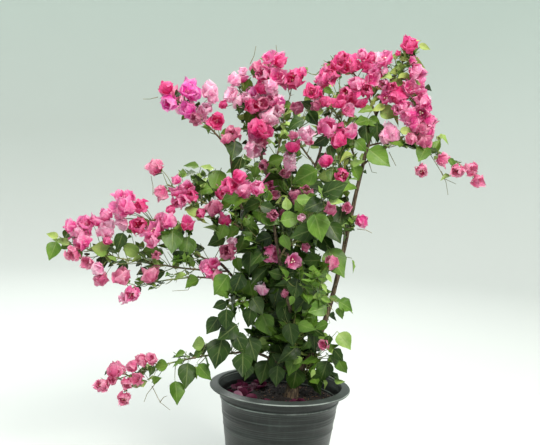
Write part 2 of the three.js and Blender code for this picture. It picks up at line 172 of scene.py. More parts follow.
def spun(profile, steps):
    """A shape turned once round the axis from a profile of radius and height in millimetres."""
    shape = bmesh.new()
    verts = [shape.verts.new((radius * MM, 0, height * MM)) for radius, height in profile]
    edges = [shape.edges.new(pair) for pair in zip(verts, verts[1:])]
    turn = {"cent": (0, 0, 0), "axis": (0, 0, 1), "angle": 2 * math.pi}
    bmesh.ops.spin(shape, geom=verts + edges, steps=steps, use_merge=True, **turn)
    bmesh.ops.remove_doubles(shape, verts=shape.verts, dist=1e-6)
    bmesh.ops.recalc_face_normals(shape, faces=shape.faces)
    return shape


# %% [markdown]
# The pot is injection moulded in one piece of black polypropylene, gone a weathered grey green. It has a
# wide sloping flange with a turned-down lip, a raised bead below it and fine ribs round the wall. A turned
# shape wants a spin: the profile is drawn once, and the spin takes it round the axis.

# %% Pot profile
WALL, FLOOR = 2.5, 5
BASE_RADIUS, BODY_TOP_RADIUS, BODY_TOP = 96, 125, 218
RIBS = [162, 185, 190, 197]
RIB_PROUD, RIB_HALF = 0.8, 1.3


def wall_radius(height):
    return BASE_RADIUS + (BODY_TOP_RADIUS - BASE_RADIUS) * height / BODY_TOP


ribs = [
    (wall_radius(rib + step) + proud, rib + step)
    for rib in RIBS
    for step, proud in ((-RIB_HALF, 0), (0, RIB_PROUD), (RIB_HALF, 0))
]
foot = [(0, 0), (92, 0), (94.6, 0.5), (95.9, 2), (96.5, 4), (wall_radius(60), 60), (wall_radius(120), 120)]
bead = [(124.8, 215), (126.6, 217), (127.5, 218.6), (127.6, 220.6), (127, 222.4), (126.2, 223.4)]
flare = [(126.6, 227), (127.6, 232), (129.6, 237.5), (134, 241.6)]
flange = [(141, 243.6), (145.6, 243.4), (147.4, 242.4), (148.8, 242.2)]
lip = [(149.8, 243.2), (150, 244.6), (149.7, 246), (148.6, 246.9), (142, 248.4), (135, 249.7), (133.4, 250)]
mouth = [(132.3, 249.8), (131.6, 248.8), (130.6, 244), (128.6, 239), (126, 234), (124.2, 228)]
inside = [(wall_radius(height) - WALL, height) for height in (BODY_TOP, 120, 12)]
floor = [(wall_radius(7) - WALL - 1.5, 6), (90, FLOOR), (0, FLOOR)]
pot_profile = foot + ribs + bead + flare + flange + lip + mouth + inside + floor
print(len(pot_profile), "points in the pot's profile")

# %% [markdown]
# Weathered polypropylene is dark, slightly waxy and never clean. The mould leaves fine rings round the wall,
# whose ridges are rubbed pale, and watering leaves faint streaks. Each of these is a noise: flattened to thin
# rings a few millimetres apart, or stretched upright for the streaks. The upward faces are paler, partly dust
# that settles there and partly painted light from above. Painted highlights, pale lines uneven along the ring,
# stand for the light caught by the crest of the bead and the edge of the lip, and go by their height, in
# metres.

# %% Pot finish: moulded polypropylene, weathered
polypropylene, tree = new_material("moulded_polypropylene_weathered")
where = add(tree, "TexCoord").outputs["Object"]
streak_place = add(tree, "Mapping", {"Vector": where, "Scale": (120, 120, 9)})
streaks = add(tree, "TexNoise", {"Vector": streak_place, "Scale": 1, "Detail": 5, "Roughness": 0.6})
ring_place = add(tree, "Mapping", {"Vector": where, "Scale": (3, 3, 420)})
rings = add(tree, "TexNoise", {"Vector": ring_place, "Scale": 1, "Detail": 2, "Roughness": 0.6})
blotches = add(tree, "TexNoise", {"Vector": where, "Scale": 17, "Detail": 6, "Roughness": 0.62})
grit = add(tree, "TexNoise", {"Vector": where, "Scale": 900, "Detail": 2})
upward = add(tree, "SeparateXYZ", {0: add(tree, "NewGeometry").outputs["Normal"]}).outputs["Z"]
# Upward faces paler: partly dust that settles there, partly painted light from above.
top_dust_and_light = add(tree, "MapRange", {"Value": upward, "From Min": 0.2, "From Max": 1.0, "To Max": 0.36})
tide = add(tree, "MapRange", {"Value": streaks, "From Min": 0.5, "From Max": 0.76, "To Max": 0.12})
scored = add(tree, "MapRange", {"Value": rings, "From Min": 0.58, "From Max": 0.68, "To Max": 0.6})
worn = add(tree, "MapRange", {"Value": blotches, "From Min": 0.48, "From Max": 0.74, "To Max": 0.2})
settled_dust_and_light = add(tree, "Math", {0: top_dust_and_light, 1: scored}, operation="MAXIMUM")
streaked_dust_and_light = add(tree, "Math", {0: settled_dust_and_light, 1: tide}, operation="ADD")
dust_and_top_light = add(tree, "Math", {0: streaked_dust_and_light, 1: worn}, operation="ADD", use_clamp=True)
plastic = add(tree, "Mix", {0: rings, 6: "#0B0F0E", 7: "#161B1A"}, data_type="RGBA")
film = add(tree, "Mix", {0: grit, 6: "#313936", 7: "#596460"}, data_type="RGBA")
shade = add(tree, "Mix", {0: dust_and_top_light, 6: plastic, 7: film}, data_type="RGBA")
height = add(tree, "SeparateXYZ", {0: where}).outputs["Z"]
# Painted highlights: pale lines where the bead's crest and the lip's edge catch the light.
bead_crest_highlight = add(tree, "Math", {0: height, 1: 0.2206, 2: 0.0013}, operation="COMPARE")
lip_edge_highlight = add(tree, "Math", {0: height, 1: 0.2457, 2: 0.001}, operation="COMPARE")
painted_highlight_lines = add(tree, "Math", {0: bead_crest_highlight, 1: lip_edge_highlight}, operation="ADD")
patchy = add(
    tree, "MapRange", {"Value": blotches, "From Min": 0.36, "From Max": 0.6, "To Min": 0.1, "To Max": 0.8}
)
painted_highlight_mask = add(tree, "Math", {0: painted_highlight_lines, 1: patchy}, operation="MULTIPLY")
base_with_painted_highlights = add(tree, "Mix", {0: painted_highlight_mask, 6: shade, 7: "#929C97"}, data_type="RGBA")
dull = add(tree, "MapRange", {"Value": dust_and_top_light, "To Min": 0.33, "To Max": 0.66})
mould = add(tree, "Bump", {"Height": rings, "Strength": 0.5, "Distance": 0.0011})
scuff = add(tree, "Bump", {"Height": blotches, "Normal": mould, "Strength": 0.3, "Distance": 0.0012})
skin = add(tree, "BsdfPrincipled", {"Base Color": base_with_painted_highlights, "Roughness": dull, "Normal": scuff, "IOR": 1.46})
add(tree, "OutputMaterial", {"Surface": skin})
print(polypropylene.name, len(tree.nodes), "nodes")

# %% [markdown]
# Water leaves a nursery pot through holes in its base. They are drilled here with a Boolean modifier whose
# cutter is six short bars, and the result is kept as a plain mesh.

# %% Pot with its drain holes
POT_STEPS, DRILL_STEPS = 144, 20
DRAINS, DRAIN_RADIUS, DRAIN_CIRCLE, DRILL_LENGTH = 6, 6, 62, 30


def baked(body):
    """The mesh of an object with its modifiers applied. The object is removed."""
    view = bpy.context.evaluated_depsgraph_get()
    mesh = bpy.data.meshes.new_from_object(body.evaluated_get(view))
    bpy.data.objects.remove(body)
    return mesh


drills = bmesh.new()
bar = {"radius1": DRAIN_RADIUS * MM, "radius2": DRAIN_RADIUS * MM, "depth": DRILL_LENGTH * MM}
for i in range(DRAINS):
    turn = Matrix.Rotation(2 * math.pi * i / DRAINS, 4, "Z") @ Matrix.Translation((DRAIN_CIRCLE * MM, 0, 0))
    bmesh.ops.create_cone(drills, cap_ends=True, segments=DRILL_STEPS, matrix=turn, **bar)
drill = linked("drills", mesh_of(drills, "drills"))
blank = linked("pot_blank", mesh_of(spun(pot_profile, POT_STEPS), "pot_blank"))
cut = blank.modifiers.new("drains", "BOOLEAN")
cut.object, cut.operation, cut.solver = drill, "DIFFERENCE", "EXACT"
drilled = baked(blank)
bpy.data.objects.remove(drill)
piece("pot_turned", drilled, polypropylene, ["pot"])

# %% [markdown]
# The plant grows by one rule, the same as in the part's source, so that each twig of the picture lies where
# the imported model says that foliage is. The numbers below are the source's own, in millimetres: the trunk,
# then the boughs that leave it, each through two handles to its tip.

# %% Limbs of the plant
SOIL_TOP = 222
TRUNK = [(25, 5, SOIL_TOP), (45, 0, 370), (-5, 12, 470), (-18, 5, 632)]
TRUNK_THICK, TRUNK_THIN = 9.5, 5.5
BOUGHS = {
    "bough_right": ("trunk", 0.1, [(110, -5, 350), (118, 8, 590), (162, 10, 782)], 6.5, 3.6),
    "bough_crown": ("bough_right", 0.95, [(166, 10, 810), (174, 10, 840), (186, 10, 880)], 3.4, 2.4),
    "bough_middle": ("trunk", 0.97, [(-25, -2, 670), (-62, 0, 690), (-66, 0, 752)], 4.6, 3),
    "bough_left": ("trunk", 0.3, [(-35, -8, 365), (-80, -20, 455), (-138, -22, 506)], 4.4, 2.8),
    "bough_left_high": ("trunk", 0.62, [(-45, 5, 520), (-118, 8, 610), (-128, 0, 738)], 4.2, 2.6),
    "bough_low_left": ("trunk", 0.12, [(-5, -18, 290), (-40, -34, 336), (-96, -34, 320)], 3.8, 2.4),
    "bough_front": ("trunk", 0.36, [(20, -40, 400), (-8, -92, 480), (-30, -112, 600)], 4.4, 2.8),
    "bough_back": ("trunk", 0.28, [(40, 50, 360), (30, 118, 460), (18, 128, 630)], 4.8, 3),
    "bough_back_high": ("trunk", 0.86, [(-8, 20, 640), (50, 95, 650), (70, 112, 780)], 4, 2.6),
}


def mix(a, b, share):
    return a + (b - a) * share


def on_curve(points, share):
    """The place at a share of a curve with two handles, and the way that it runs there."""
    a, b, c, d = points
    rest = 1 - share
    place = a * rest**3 + b * (3 * rest * rest * share) + c * (3 * rest * share * share) + d * share**3
    way = (b - a) * rest * rest + (c - b) * (2 * rest * share) + (d - c) * share * share
    return place, way.normalized()


def in_metres(points):
    return [Vector(point) * MM for point in points]


limbs = {"trunk": (in_metres(TRUNK), TRUNK_THICK * MM, TRUNK_THIN * MM)}
for name, (parent, at, ways, thick, thin) in BOUGHS.items():
    start = on_curve(limbs[parent][0], at)[0]
    limbs[name] = ([start] + in_metres(ways), thick * MM, thin * MM)
print(len(limbs), "limbs")

# %% [markdown]
# A limb is a tapering tube. Blender's curves make tubes by themselves: each point of a spline carries its
# own radius, and the bevel turns the line into a round bar with closed ends. The same function serves the
# finest twig and the trunk, so all wood is made in one way.

# %% Tubes
def tubes(name, runs, roundness):
    """One mesh of round bars. Each run is a list of places and a list of their radii."""
    curve = bpy.data.curves.new(name, "CURVE")
    curve.dimensions = "3D"
    curve.bevel_depth = 1
    curve.bevel_resolution = roundness
    curve.use_fill_caps = True
    for places, radii in runs:
        spline = curve.splines.new("POLY")
        spline.points.add(len(places) - 1)
        spline.points.foreach_set("co", [n for place in places for n in (*place, 1)])
        spline.points.foreach_set("radius", radii)
    return baked(linked(name, curve))


# %% [markdown]
# Young bark is smooth and grey brown. Towards the foot it is older, cracked lengthwise, with knots where
# twigs once grew. The relief is moved into the mesh itself by a noise that is drawn out along the height.
# The trunk flares at its foot, and each bough swells into a collar where it leaves its parent, as wood grows
# round a branch: by a share of the radius that fades over a share of the length.

# %% Limbs with bark
TRUNK_FORM, BOUGH_FORM = (0.8, 0.1, 64), (0.4, 0.05, 36)
KNOTS, BURIED, RELIEF = 0.07, 6 * MM, 0.00055


def limb_run(name):
    """Places and radii along a limb, with its flare or collar and its knots. The trunk's foot is buried."""
    points, thick, thin = limbs[name]
    swell, swell_share, count = TRUNK_FORM if name == "trunk" else BOUGH_FORM
    places, radii = [], []
    for i in range(count + 1):
        share = i / count
        place = on_curve(points, share)[0]
        places.append(place)
        swollen = 1 + swell * math.exp(-share / swell_share)
        radii.append(mix(thick, thin, share) * swollen * (1 + KNOTS * noise.noise(place * 60)))
    if name == "trunk":
        places.insert(0, places[0] - Vector((0, 0, BURIED)))
        radii.insert(0, radii[0] * 1.15)
    return places, radii


bark_mesh = tubes("bark_limbs", [limb_run(name) for name in limbs], 8)
for vert in bark_mesh.vertices:
    drawn_out = Vector((vert.co.x * 420, vert.co.y * 420, vert.co.z * 60))
    relief = noise.fractal(drawn_out, 0.8, 2.2, 4)
    vert.co += vert.normal * relief * RELIEF
print(len(bark_mesh.vertices), "corners in the bark")

# %% Bark finish
bark, tree = new_material("bark_grey_brown")
where = add(tree, "TexCoord").outputs["Object"]
grain_place = add(tree, "Mapping", {"Vector": where, "Scale": (260, 260, 42)})
grain = add(tree, "TexNoise", {"Vector": grain_place, "Scale": 1, "Detail": 8, "Roughness": 0.68})
cracks = add(tree, "TexVoronoi", {"Vector": grain_place, "Scale": 0.8}, feature="DISTANCE_TO_EDGE")
lichen = add(tree, "TexNoise", {"Vector": where, "Scale": 70, "Detail": 5, "Roughness": 0.7})
ridge = add(tree, "MapRange", {"Value": cracks, "From Max": 0.16})
wood = add(tree, "Mix", {0: grain, 6: "#2E231A", 7: "#77634A"}, data_type="RGBA")
pale = add(tree, "MapRange", {"Value": lichen, "From Min": 0.56, "From Max": 0.72, "To Max": 0.55})
grey = add(tree, "Mix", {0: pale, 6: wood, 7: "#9A927C"}, data_type="RGBA")
deep = add(tree, "Mix", {0: ridge, 6: "#241A13", 7: grey}, data_type="RGBA")
rough = add(tree, "Bump", {"Height": grain, "Strength": 0.6, "Distance": 0.0012})
split = add(tree, "Bump", {"Height": ridge, "Normal": rough, "Strength": 0.5, "Distance": 0.0008})
skin = add(tree, "BsdfPrincipled", {"Base Color": deep, "Roughness": 0.86, "Normal": split})
add(tree, "OutputMaterial", {"Surface": skin})
piece("bark_limbs", bark_mesh, bark, list(limbs))

# %% [markdown]
# Next come the sprays. Each row names the limb that a stem springs from and where, its tip and how high it
# arches on the way, the reach of its shoots, its count of nodes, the share of its length where blooms
# begin, which is 2 where there are none, the length of a leaf and a seed.

# %% Sprays
GOLDEN_ANGLE = math.pi * (3 - math.sqrt(5))
SPRAYS = {
    "spray_top_middle": ("bough_middle", 1, (-58, -5, 922), -0.05, 42, 10, 0.05, 54, 21),
    "spray_top_middle_left": ("bough_middle", 0.72, (-122, 22, 885), -0.05, 38, 9, 0.1, 54, 22),
    "spray_top_middle_right": ("bough_middle", 0.45, (-4, 18, 905), 0, 36, 8, 0.25, 57, 23),
    "spray_left_high": ("bough_left_high", 1, (-268, -38, 852), 0.1, 32, 9, 0.2, 52, 24),
    "spray_left_shoulder": ("bough_left_high", 0.72, (-205, 10, 662), 0.15, 32, 6, 2, 57, 25),
    "spray_left_upper": ("bough_left_high", 0.42, (-255, -42, 668), 0.05, 48, 10, 0.25, 62, 26),
    "spray_left_middle": ("bough_left", 1, (-285, -45, 590), -0.1, 46, 10, 0.3, 69, 27),
    "spray_left_outer": ("bough_left", 0.9, (-460, -60, 540), -0.05, 62, 12, 0.42, 66, 28),
    "spray_left_hanging": ("bough_left", 0.78, (-330, -60, 445), 0.1, 42, 7, 0.6, 59, 29),
    "spray_left_inner": ("bough_left", 0.42, (-105, -55, 425), 0.45, 44, 7, 2, 66, 49),
    "spray_low_left": ("bough_low_left", 1, (-360, -68, 250), 0.05, 46, 9, 0.5, 72, 30),
    "spray_right_arch": ("bough_crown", 0.55, (40, -6, 905), 0.5, 36, 9, 0.15, 50, 31),
    "spray_right_crest": ("bough_crown", 1, (232, 10, 962), 0, 34, 8, 0.2, 54, 32),
    "spray_right_inner": ("bough_right", 0.86, (35, -35, 868), 0.25, 42, 10, 0.25, 57, 33),
    "spray_right_outer": ("bough_crown", 0.8, (262, 0, 862), 0.3, 46, 9, 0.15, 52, 34),
    "spray_right_low": ("bough_right", 0.9, (272, -26, 772), 0.25, 40, 6, 0.2, 59, 35),
    "spray_right_tip": ("bough_right", 0.97, (388, 0, 708), 0.2, 34, 8, 0.45, 52, 36),
    "spray_right_under": ("bough_right", 0.7, (58, -62, 790), 0.3, 44, 8, 0.3, 64, 37),
    "spray_right_shoulder": ("bough_right", 0.55, (128, -46, 640), 0.35, 40, 6, 0.7, 66, 38),
    "spray_front_row": ("bough_front", 1, (-112, -138, 672), 0.1, 44, 8, 0.3, 62, 39),
    "spray_front_right": ("bough_front", 0.8, (72, -180, 655), 0.15, 50, 7, 0.7, 69, 40),
    "spray_front_low": ("bough_front", 0.55, (62, -204, 480), 0.1, 50, 8, 0.85, 72, 51),
    "spray_front_high": ("bough_middle", 0.25, (12, -125, 800), 0, 46, 6, 0.4, 62, 42),
    "spray_back_high": ("bough_back_high", 1, (110, 185, 890), 0.1, 52, 7, 0.15, 57, 43),
    "spray_back_crown": ("bough_back_high", 0.8, (-55, 190, 830), 0.05, 48, 7, 0.25, 59, 44),
    "spray_back_right": ("bough_back_high", 0.6, (165, 282, 710), 0.05, 52, 8, 0.35, 64, 45),
    "spray_back_left": ("bough_back", 1, (-110, 288, 680), 0.2, 54, 8, 0.35, 64, 46),
    "spray_back_middle": ("bough_back", 0.75, (55, 305, 570), 0.15, 52, 8, 0.5, 69, 47),
    "spray_back_low": ("bough_back", 0.45, (-25, 250, 405), 0.15, 48, 7, 0.7, 72, 48),
}
COLUMN_COUNT, COLUMN_LOW, COLUMN_HIGH = 11, 0.06, 0.97
COLUMN_OUT, COLUMN_NARROW, COLUMN_LEAN, COLUMN_RISE = 84, 0.75, -16, 62
for i in range(COLUMN_COUNT):
    up_share = i / (COLUMN_COUNT - 1)
    at = mix(COLUMN_LOW, COLUMN_HIGH, up_share)
    out, turn = COLUMN_OUT * mix(COLUMN_NARROW, 1, up_share), i * GOLDEN_ANGLE
    away = Vector((out * math.cos(turn) + COLUMN_LEAN, out * math.sin(turn), COLUMN_RISE))
    tip = on_curve(limbs["trunk"][0], at)[0] / MM + away
    begin = 0.8 if i % 4 == 2 else 2
    SPRAYS[f"column_leaves_{i + 1:02d}"] = ("trunk", at, tuple(tip), -0.1, 60, 9, begin, 82, 71 + i)
print(len(SPRAYS), "stems")

# %% [markdown]
# A seeded stream of numbers stands in for chance, so that the plant is the same on every run. Blender's noise
# vector starts somewhere else each time unless it has a seed, so it gets one too. A stem then runs from its
# limb to its tip over an arch, with the slight sway of a living shoot.

# %% Stems
UP, EAST = Vector((0, 0, 1)), Vector((1, 0, 0))
SWAY, SWAY_SCALE, SWAY_SEED = 4 * MM, 14, 2
noise.seed_set(SWAY_SEED)


def stream(seed):
    """Numbers from 0 to 1 that are always the same for one seed."""
    modulus = 2147483647
    state = (seed * 7919 + 104729) * 48271 % modulus
    while True:
        state = state * 48271 % modulus
        yield state / modulus


def arched(start, tip, arch):
    run = tip - start
    lift = UP * (arch * run.length)
    return [start, start + run / 3 + lift, start + run * (2 / 3) + lift, tip]


def on_stem(stem, share):
    """The place and the way at a share of a stem, with its sway."""
    place, way = on_curve(stem, share)
    sway = Vector(noise.noise_vector(place * SWAY_SCALE)) * (SWAY * math.sin(math.pi * share))
    return place + sway, way


def outward(way, turn):
    """The way that points out from a stem at a turn about it."""
    side = way.cross(UP if abs(way.z) < 0.9 else EAST).normalized()
    return side * math.cos(turn) + side.cross(way) * math.sin(turn)


stems = {}
for name, (limb, at, tip, arch, *_) in SPRAYS.items():
    stems[name] = arched(on_curve(limbs[limb][0], at)[0], Vector(tip) * MM, arch)
print("the longest stem is", round(max((stem[3] - stem[0]).length for stem in stems.values()) / MM), "mm")

# %% [markdown]
# A free-grown crown has an outline and holes that no rule gives, so they are drawn here as points of the
# picture: the crown with its left arm, the low spray beside the pot, one lone bloom, and the places where sky
# shows through. Foliage that would show outside the outline or in a hole is left off.

# %% Outline of the crown
CROWN = [
    (209, 392), (206, 346), (216, 334), (230, 337), (225, 326), (205, 334), (220, 314), (209, 306),
    (222, 297), (211, 286), (205, 280), (196, 272), (196, 262), (190, 266), (188, 276), (172, 281),
    (168, 272), (164, 263), (164, 276), (160, 286), (148, 289), (141, 283), (140, 292), (138, 308),
    (126, 311), (120, 298), (122, 289), (112, 274), (107, 282), (100, 288), (90, 279), (80, 267), (68, 263),
    (60, 257), (47, 259), (44, 231), (60, 230), (61, 220), (70, 214), (90, 214), (95, 205), (101, 211),
    (110, 204), (113, 190), (120, 186), (136, 193), (149, 205), (142, 215), (158, 214), (162, 207),
    (152, 200), (153, 190), (158, 184), (168, 188), (171, 181), (169, 173), (179, 174), (179, 162),
    (192, 160), (200, 166), (214, 164), (224, 158), (224, 146), (219, 143), (220, 131), (200, 130),
    (191, 121), (179, 119), (174, 113), (163, 113), (157, 105), (157, 96), (150, 92), (156, 83), (162, 79),
    (172, 81), (177, 91), (179, 82), (187, 78), (200, 86), (206, 80), (214, 80), (220, 93), (226, 89),
    (224, 73), (232, 69), (238, 72), (243, 65), (250, 62), (255, 51), (262, 47), (276, 45), (286, 54),
    (289, 63), (287, 69), (292, 65), (300, 65), (307, 70), (305, 80), (298, 89), (287, 89), (285, 98),
    (291, 103), (297, 100), (303, 96), (301, 86), (312, 80), (318, 69), (325, 64), (330, 57), (338, 51),
    (346, 51), (354, 56), (357, 49), (366, 47), (373, 50), (378, 45), (393, 45), (396, 50), (397, 57),
    (400, 52), (400, 39), (405, 33), (413, 34), (418, 40), (431, 47), (431, 54), (418, 53), (419, 58),
    (424, 66), (423, 78), (421, 83), (429, 86), (433, 100), (434, 112), (439, 122), (438, 132), (453, 137),
    (453, 143), (441, 143), (442, 152), (448, 153), (457, 160), (464, 165), (474, 162), (479, 171),
    (486, 177), (485, 189), (475, 190), (469, 177), (462, 177), (458, 183), (446, 183), (439, 176),
    (436, 167), (430, 160), (431, 176), (421, 181), (412, 174), (413, 160), (408, 149), (398, 147),
    (391, 145), (388, 152), (390, 169), (381, 165), (374, 157), (369, 160), (366, 172), (362, 177),
    (353, 177), (348, 182), (348, 190), (345, 197), (349, 203), (354, 211), (362, 214), (370, 221),
    (362, 232), (354, 231), (350, 240), (349, 256), (357, 262), (357, 271), (350, 279), (343, 284),
    (342, 296), (351, 300), (357, 311), (353, 321), (343, 322), (344, 332), (350, 349), (343, 352),
    (346, 364), (336, 368), (336, 378), (350, 383), (349, 392), (330, 402), (230, 402),
]
LOW_SPRAY = [
    (90, 383), (99, 375), (104, 363), (112, 359), (122, 361), (134, 357), (137, 351), (158, 351),
    (160, 360), (173, 359), (180, 349), (187, 344), (207, 340), (212, 362), (211, 380), (196, 379),
    (190, 393), (184, 393), (183, 409), (175, 403), (166, 393), (165, 385), (155, 387), (145, 391),
    (133, 393), (133, 405), (124, 409), (117, 401), (111, 393), (96, 395),
]
LONE_BLOOM = [(145, 160), (155, 153), (165, 161), (163, 176), (154, 179), (146, 172)]
OPEN_SKY = [
    (334, 88, 3), (340, 85, 4), (347, 81, 4), (354, 77, 4), (361, 73, 4), (367, 71, 2), (307, 158, 9),
    (309, 148, 4), (228, 119, 7), (217, 108, 4), (202, 97, 4), (277, 157, 6), (339, 279, 7), (207, 240, 5),
    (197, 240, 4), (205, 231, 5), (153, 205, 4), (240, 312, 3), (264, 358, 4), (240, 331, 3), (210, 180, 6),
    (226, 164, 4), (168, 251, 4), (166, 265, 5), (182, 266, 5), (196, 228, 3), (178, 212, 3), (265, 203, 3),
    (264, 228, 3), (207, 204, 3), (206, 254, 3), (258, 236, 2), (262, 244, 2), (232, 269, 2), (235, 203, 2),
    (290, 95, 5), (286, 92, 4), (299, 98, 4), (245, 96, 2), (404, 131, 3), (379, 142, 5), (376, 134, 3),
    (394, 120, 3), (360, 152, 4), (352, 150, 3), (94, 236, 3), (223, 333, 3), (334, 273, 3), (333, 284, 4),
    (333, 293, 4), (323, 357, 2), (322, 365, 2), (313, 340, 2), (305, 338, 2), (293, 278, 2), (307, 369, 2),
    (331, 334, 2), (326, 316, 2), (318, 241, 2), (166, 375, 6), (158, 372, 4), (174, 368, 3), (192, 362, 3),
    (181, 378, 2), (213, 334, 4), (236, 322, 3), (347, 290, 4), (352, 244, 4), (334, 330, 3), (346, 372, 4),
    (219, 296, 3), (205, 277, 3),
]
print("outline of", len(CROWN), "points,", len(OPEN_SKY), "holes")

# %% [markdown]
# A point lies inside an outline when a line drawn from it to the right crosses the outline an odd number of
# times. That one test serves every outline, and a hole is simply a circle. Beside the pot and in it, foliage
# also has to stay a little clear of the plastic and the mix.

# %% Inside and clear
def inside_outline(pixel, outline):
    """Counts the edges of an outline to the right of a point: an odd count is inside."""
    x, y = pixel
    inside = False
    for (ax, ay), (bx, by) in zip(outline, outline[1:] + outline[:1]):
        if (ay > y) != (by > y) and x < ax + (y - ay) * (bx - ax) / (by - ay):
            inside = not inside
    return inside


def shows_well(place):
    """Whether foliage at a place shows where the plant has foliage."""
    pixel = seen_at(place)
    if any(math.dist(pixel, hole[:2]) < hole[2] for hole in OPEN_SKY):
        return False
    return any(inside_outline(pixel, outline) for outline in (CROWN, LOW_SPRAY, LONE_BLOOM))


CLEAR_ABOVE, CLEAR_INSIDE, CLEAR_OUTSIDE, CLEAR_BESIDE, CLEAR_OF_SOIL = 262, 122, 164, 190, 6


def clear_of_pot(place):
    """Whether a place is clear of the rim, the wall and the potting mix."""
    radius, height = math.hypot(place.x, place.y) / MM, place.z / MM
    over_soil = radius < CLEAR_INSIDE and height > SOIL_TOP + CLEAR_OF_SOIL
    return height > CLEAR_ABOVE or over_soil or (radius > CLEAR_OUTSIDE and height > CLEAR_BESIDE)


print("the crown's middle is inside:", inside_outline((280, 240), CROWN))

# %% [markdown]
# The eye knows this bush by what shows on its near side, so those blooms and leaves are set down one by one,
# again as points of the picture: the blooms with a width, under the colour that each shows, and the leaves
# with a length, an angle and a kind. They are placed later.

# %% Near blooms and leaves
NEAR_BLOOMS = {
    "magenta": [
        (168, 103, 18), (187, 90, 19), (186, 109, 17), (252, 90, 11), (281, 101, 10), (193, 94, 12),
    ],
    "deep": [
        (165, 87, 14), (216, 121, 18), (223, 104, 9), (281, 60, 13), (262, 87, 15), (253, 106, 15),
        (257, 127, 18), (266, 132, 16), (294, 78, 20), (311, 91, 17), (338, 63, 15), (343, 57, 12),
        (331, 76, 17), (346, 67, 13), (354, 65, 13), (371, 57, 12), (365, 64, 11), (325, 100, 13),
        (316, 93, 13), (338, 101, 17), (346, 93, 14), (360, 101, 17), (379, 74, 10), (367, 90, 14),
        (338, 139, 15), (325, 160, 15), (342, 175, 14), (140, 206, 15), (138, 225, 19), (107, 240, 9),
        (191, 196, 13), (188, 223, 16), (200, 213, 10), (171, 209, 9), (228, 185, 17), (222, 194, 12),
        (240, 176, 14), (225, 219, 15), (398, 97, 17), (293, 145, 16), (398, 53, 6), (392, 88, 13),
        (408, 44, 16),
    ],
    "hot": [
        (262, 73, 16), (278, 76, 18), (272, 100, 13), (302, 71, 10), (268, 58, 15), (323, 78, 14),
        (362, 54, 12), (372, 80, 16), (356, 83, 15), (348, 110, 17), (376, 71, 12), (386, 97, 16),
        (404, 92, 15), (411, 87, 16), (422, 100, 16), (421, 90, 12), (409, 116, 18), (421, 113, 17),
        (404, 106, 14), (416, 126, 15), (431, 121, 13), (427, 131, 15), (328, 126, 20), (350, 131, 17),
        (415, 61, 11), (426, 109, 13), (398, 109, 13), (86, 223, 16), (81, 240, 18), (97, 219, 18),
        (105, 214, 13), (118, 194, 13), (125, 205, 19), (128, 196, 14), (116, 208, 14), (153, 229, 21),
        (151, 239, 15), (178, 190, 19), (187, 188, 16), (178, 203, 15), (185, 199, 13), (176, 179, 10),
        (244, 187, 18), (271, 183, 19), (257, 187, 16), (206, 266, 14), (215, 263, 12), (132, 294, 15),
        (160, 221, 13), (243, 78, 11), (383, 84, 12), (256, 139, 18), (208, 273, 12), (384, 58, 20),
        (418, 73, 16), (69, 225, 14), (168, 219, 16), (362, 222, 13), (272, 254, 18), (293, 261, 17),
    ],
    "pale": [
        (210, 89, 18), (213, 98, 12), (206, 108, 13), (200, 117, 16), (235, 79, 15), (231, 93, 16),
        (237, 101, 15), (243, 71, 10), (270, 85, 14), (274, 92, 10), (271, 117, 19), (278, 111, 12),
        (307, 133, 16), (290, 164, 15), (290, 155, 13), (377, 57, 11), (384, 70, 9), (76, 230, 13),
        (106, 228, 18), (121, 224, 16), (96, 269, 13), (119, 214, 12), (254, 150, 16), (232, 241, 9),
        (389, 133, 20), (124, 298, 12), (247, 97, 11), (302, 217, 8), (262, 289, 14),
    ],
    "rose": [
        (256, 66, 10), (263, 103, 15), (263, 143, 11), (309, 141, 10), (274, 195, 11), (154, 166, 17),
        (72, 254, 16), (87, 263, 15), (100, 279, 15), (122, 275, 18), (150, 273, 21), (160, 194, 15),
        (156, 255, 9), (444, 160, 14), (457, 171, 14), (471, 169, 15), (479, 181, 15), (422, 171, 14),
        (411, 138, 12), (425, 139, 18), (424, 128, 12), (115, 369, 15), (112, 380, 11), (101, 385, 14),
        (131, 366, 12), (137, 379, 15), (127, 384, 12), (141, 360, 13), (152, 359, 12), (124, 399, 14),
        (331, 262, 14), (347, 208, 12), (213, 207, 16), (216, 275, 13), (324, 345, 12), (285, 173, 10),
        (233, 133, 16), (226, 138, 12),
    ],
    # Blooms that lie in shade take a darker copy of the bract: painted shade.
    "dusky": [
        (298, 107, 14), (315, 106, 11), (298, 196, 17), (306, 191, 13), (286, 213, 13), (273, 215, 12),
        (227, 252, 16), (331, 209, 13), (284, 293, 8), (306, 247, 9), (293, 135, 10), (263, 165, 10),
        (195, 119, 13),
    ],
}
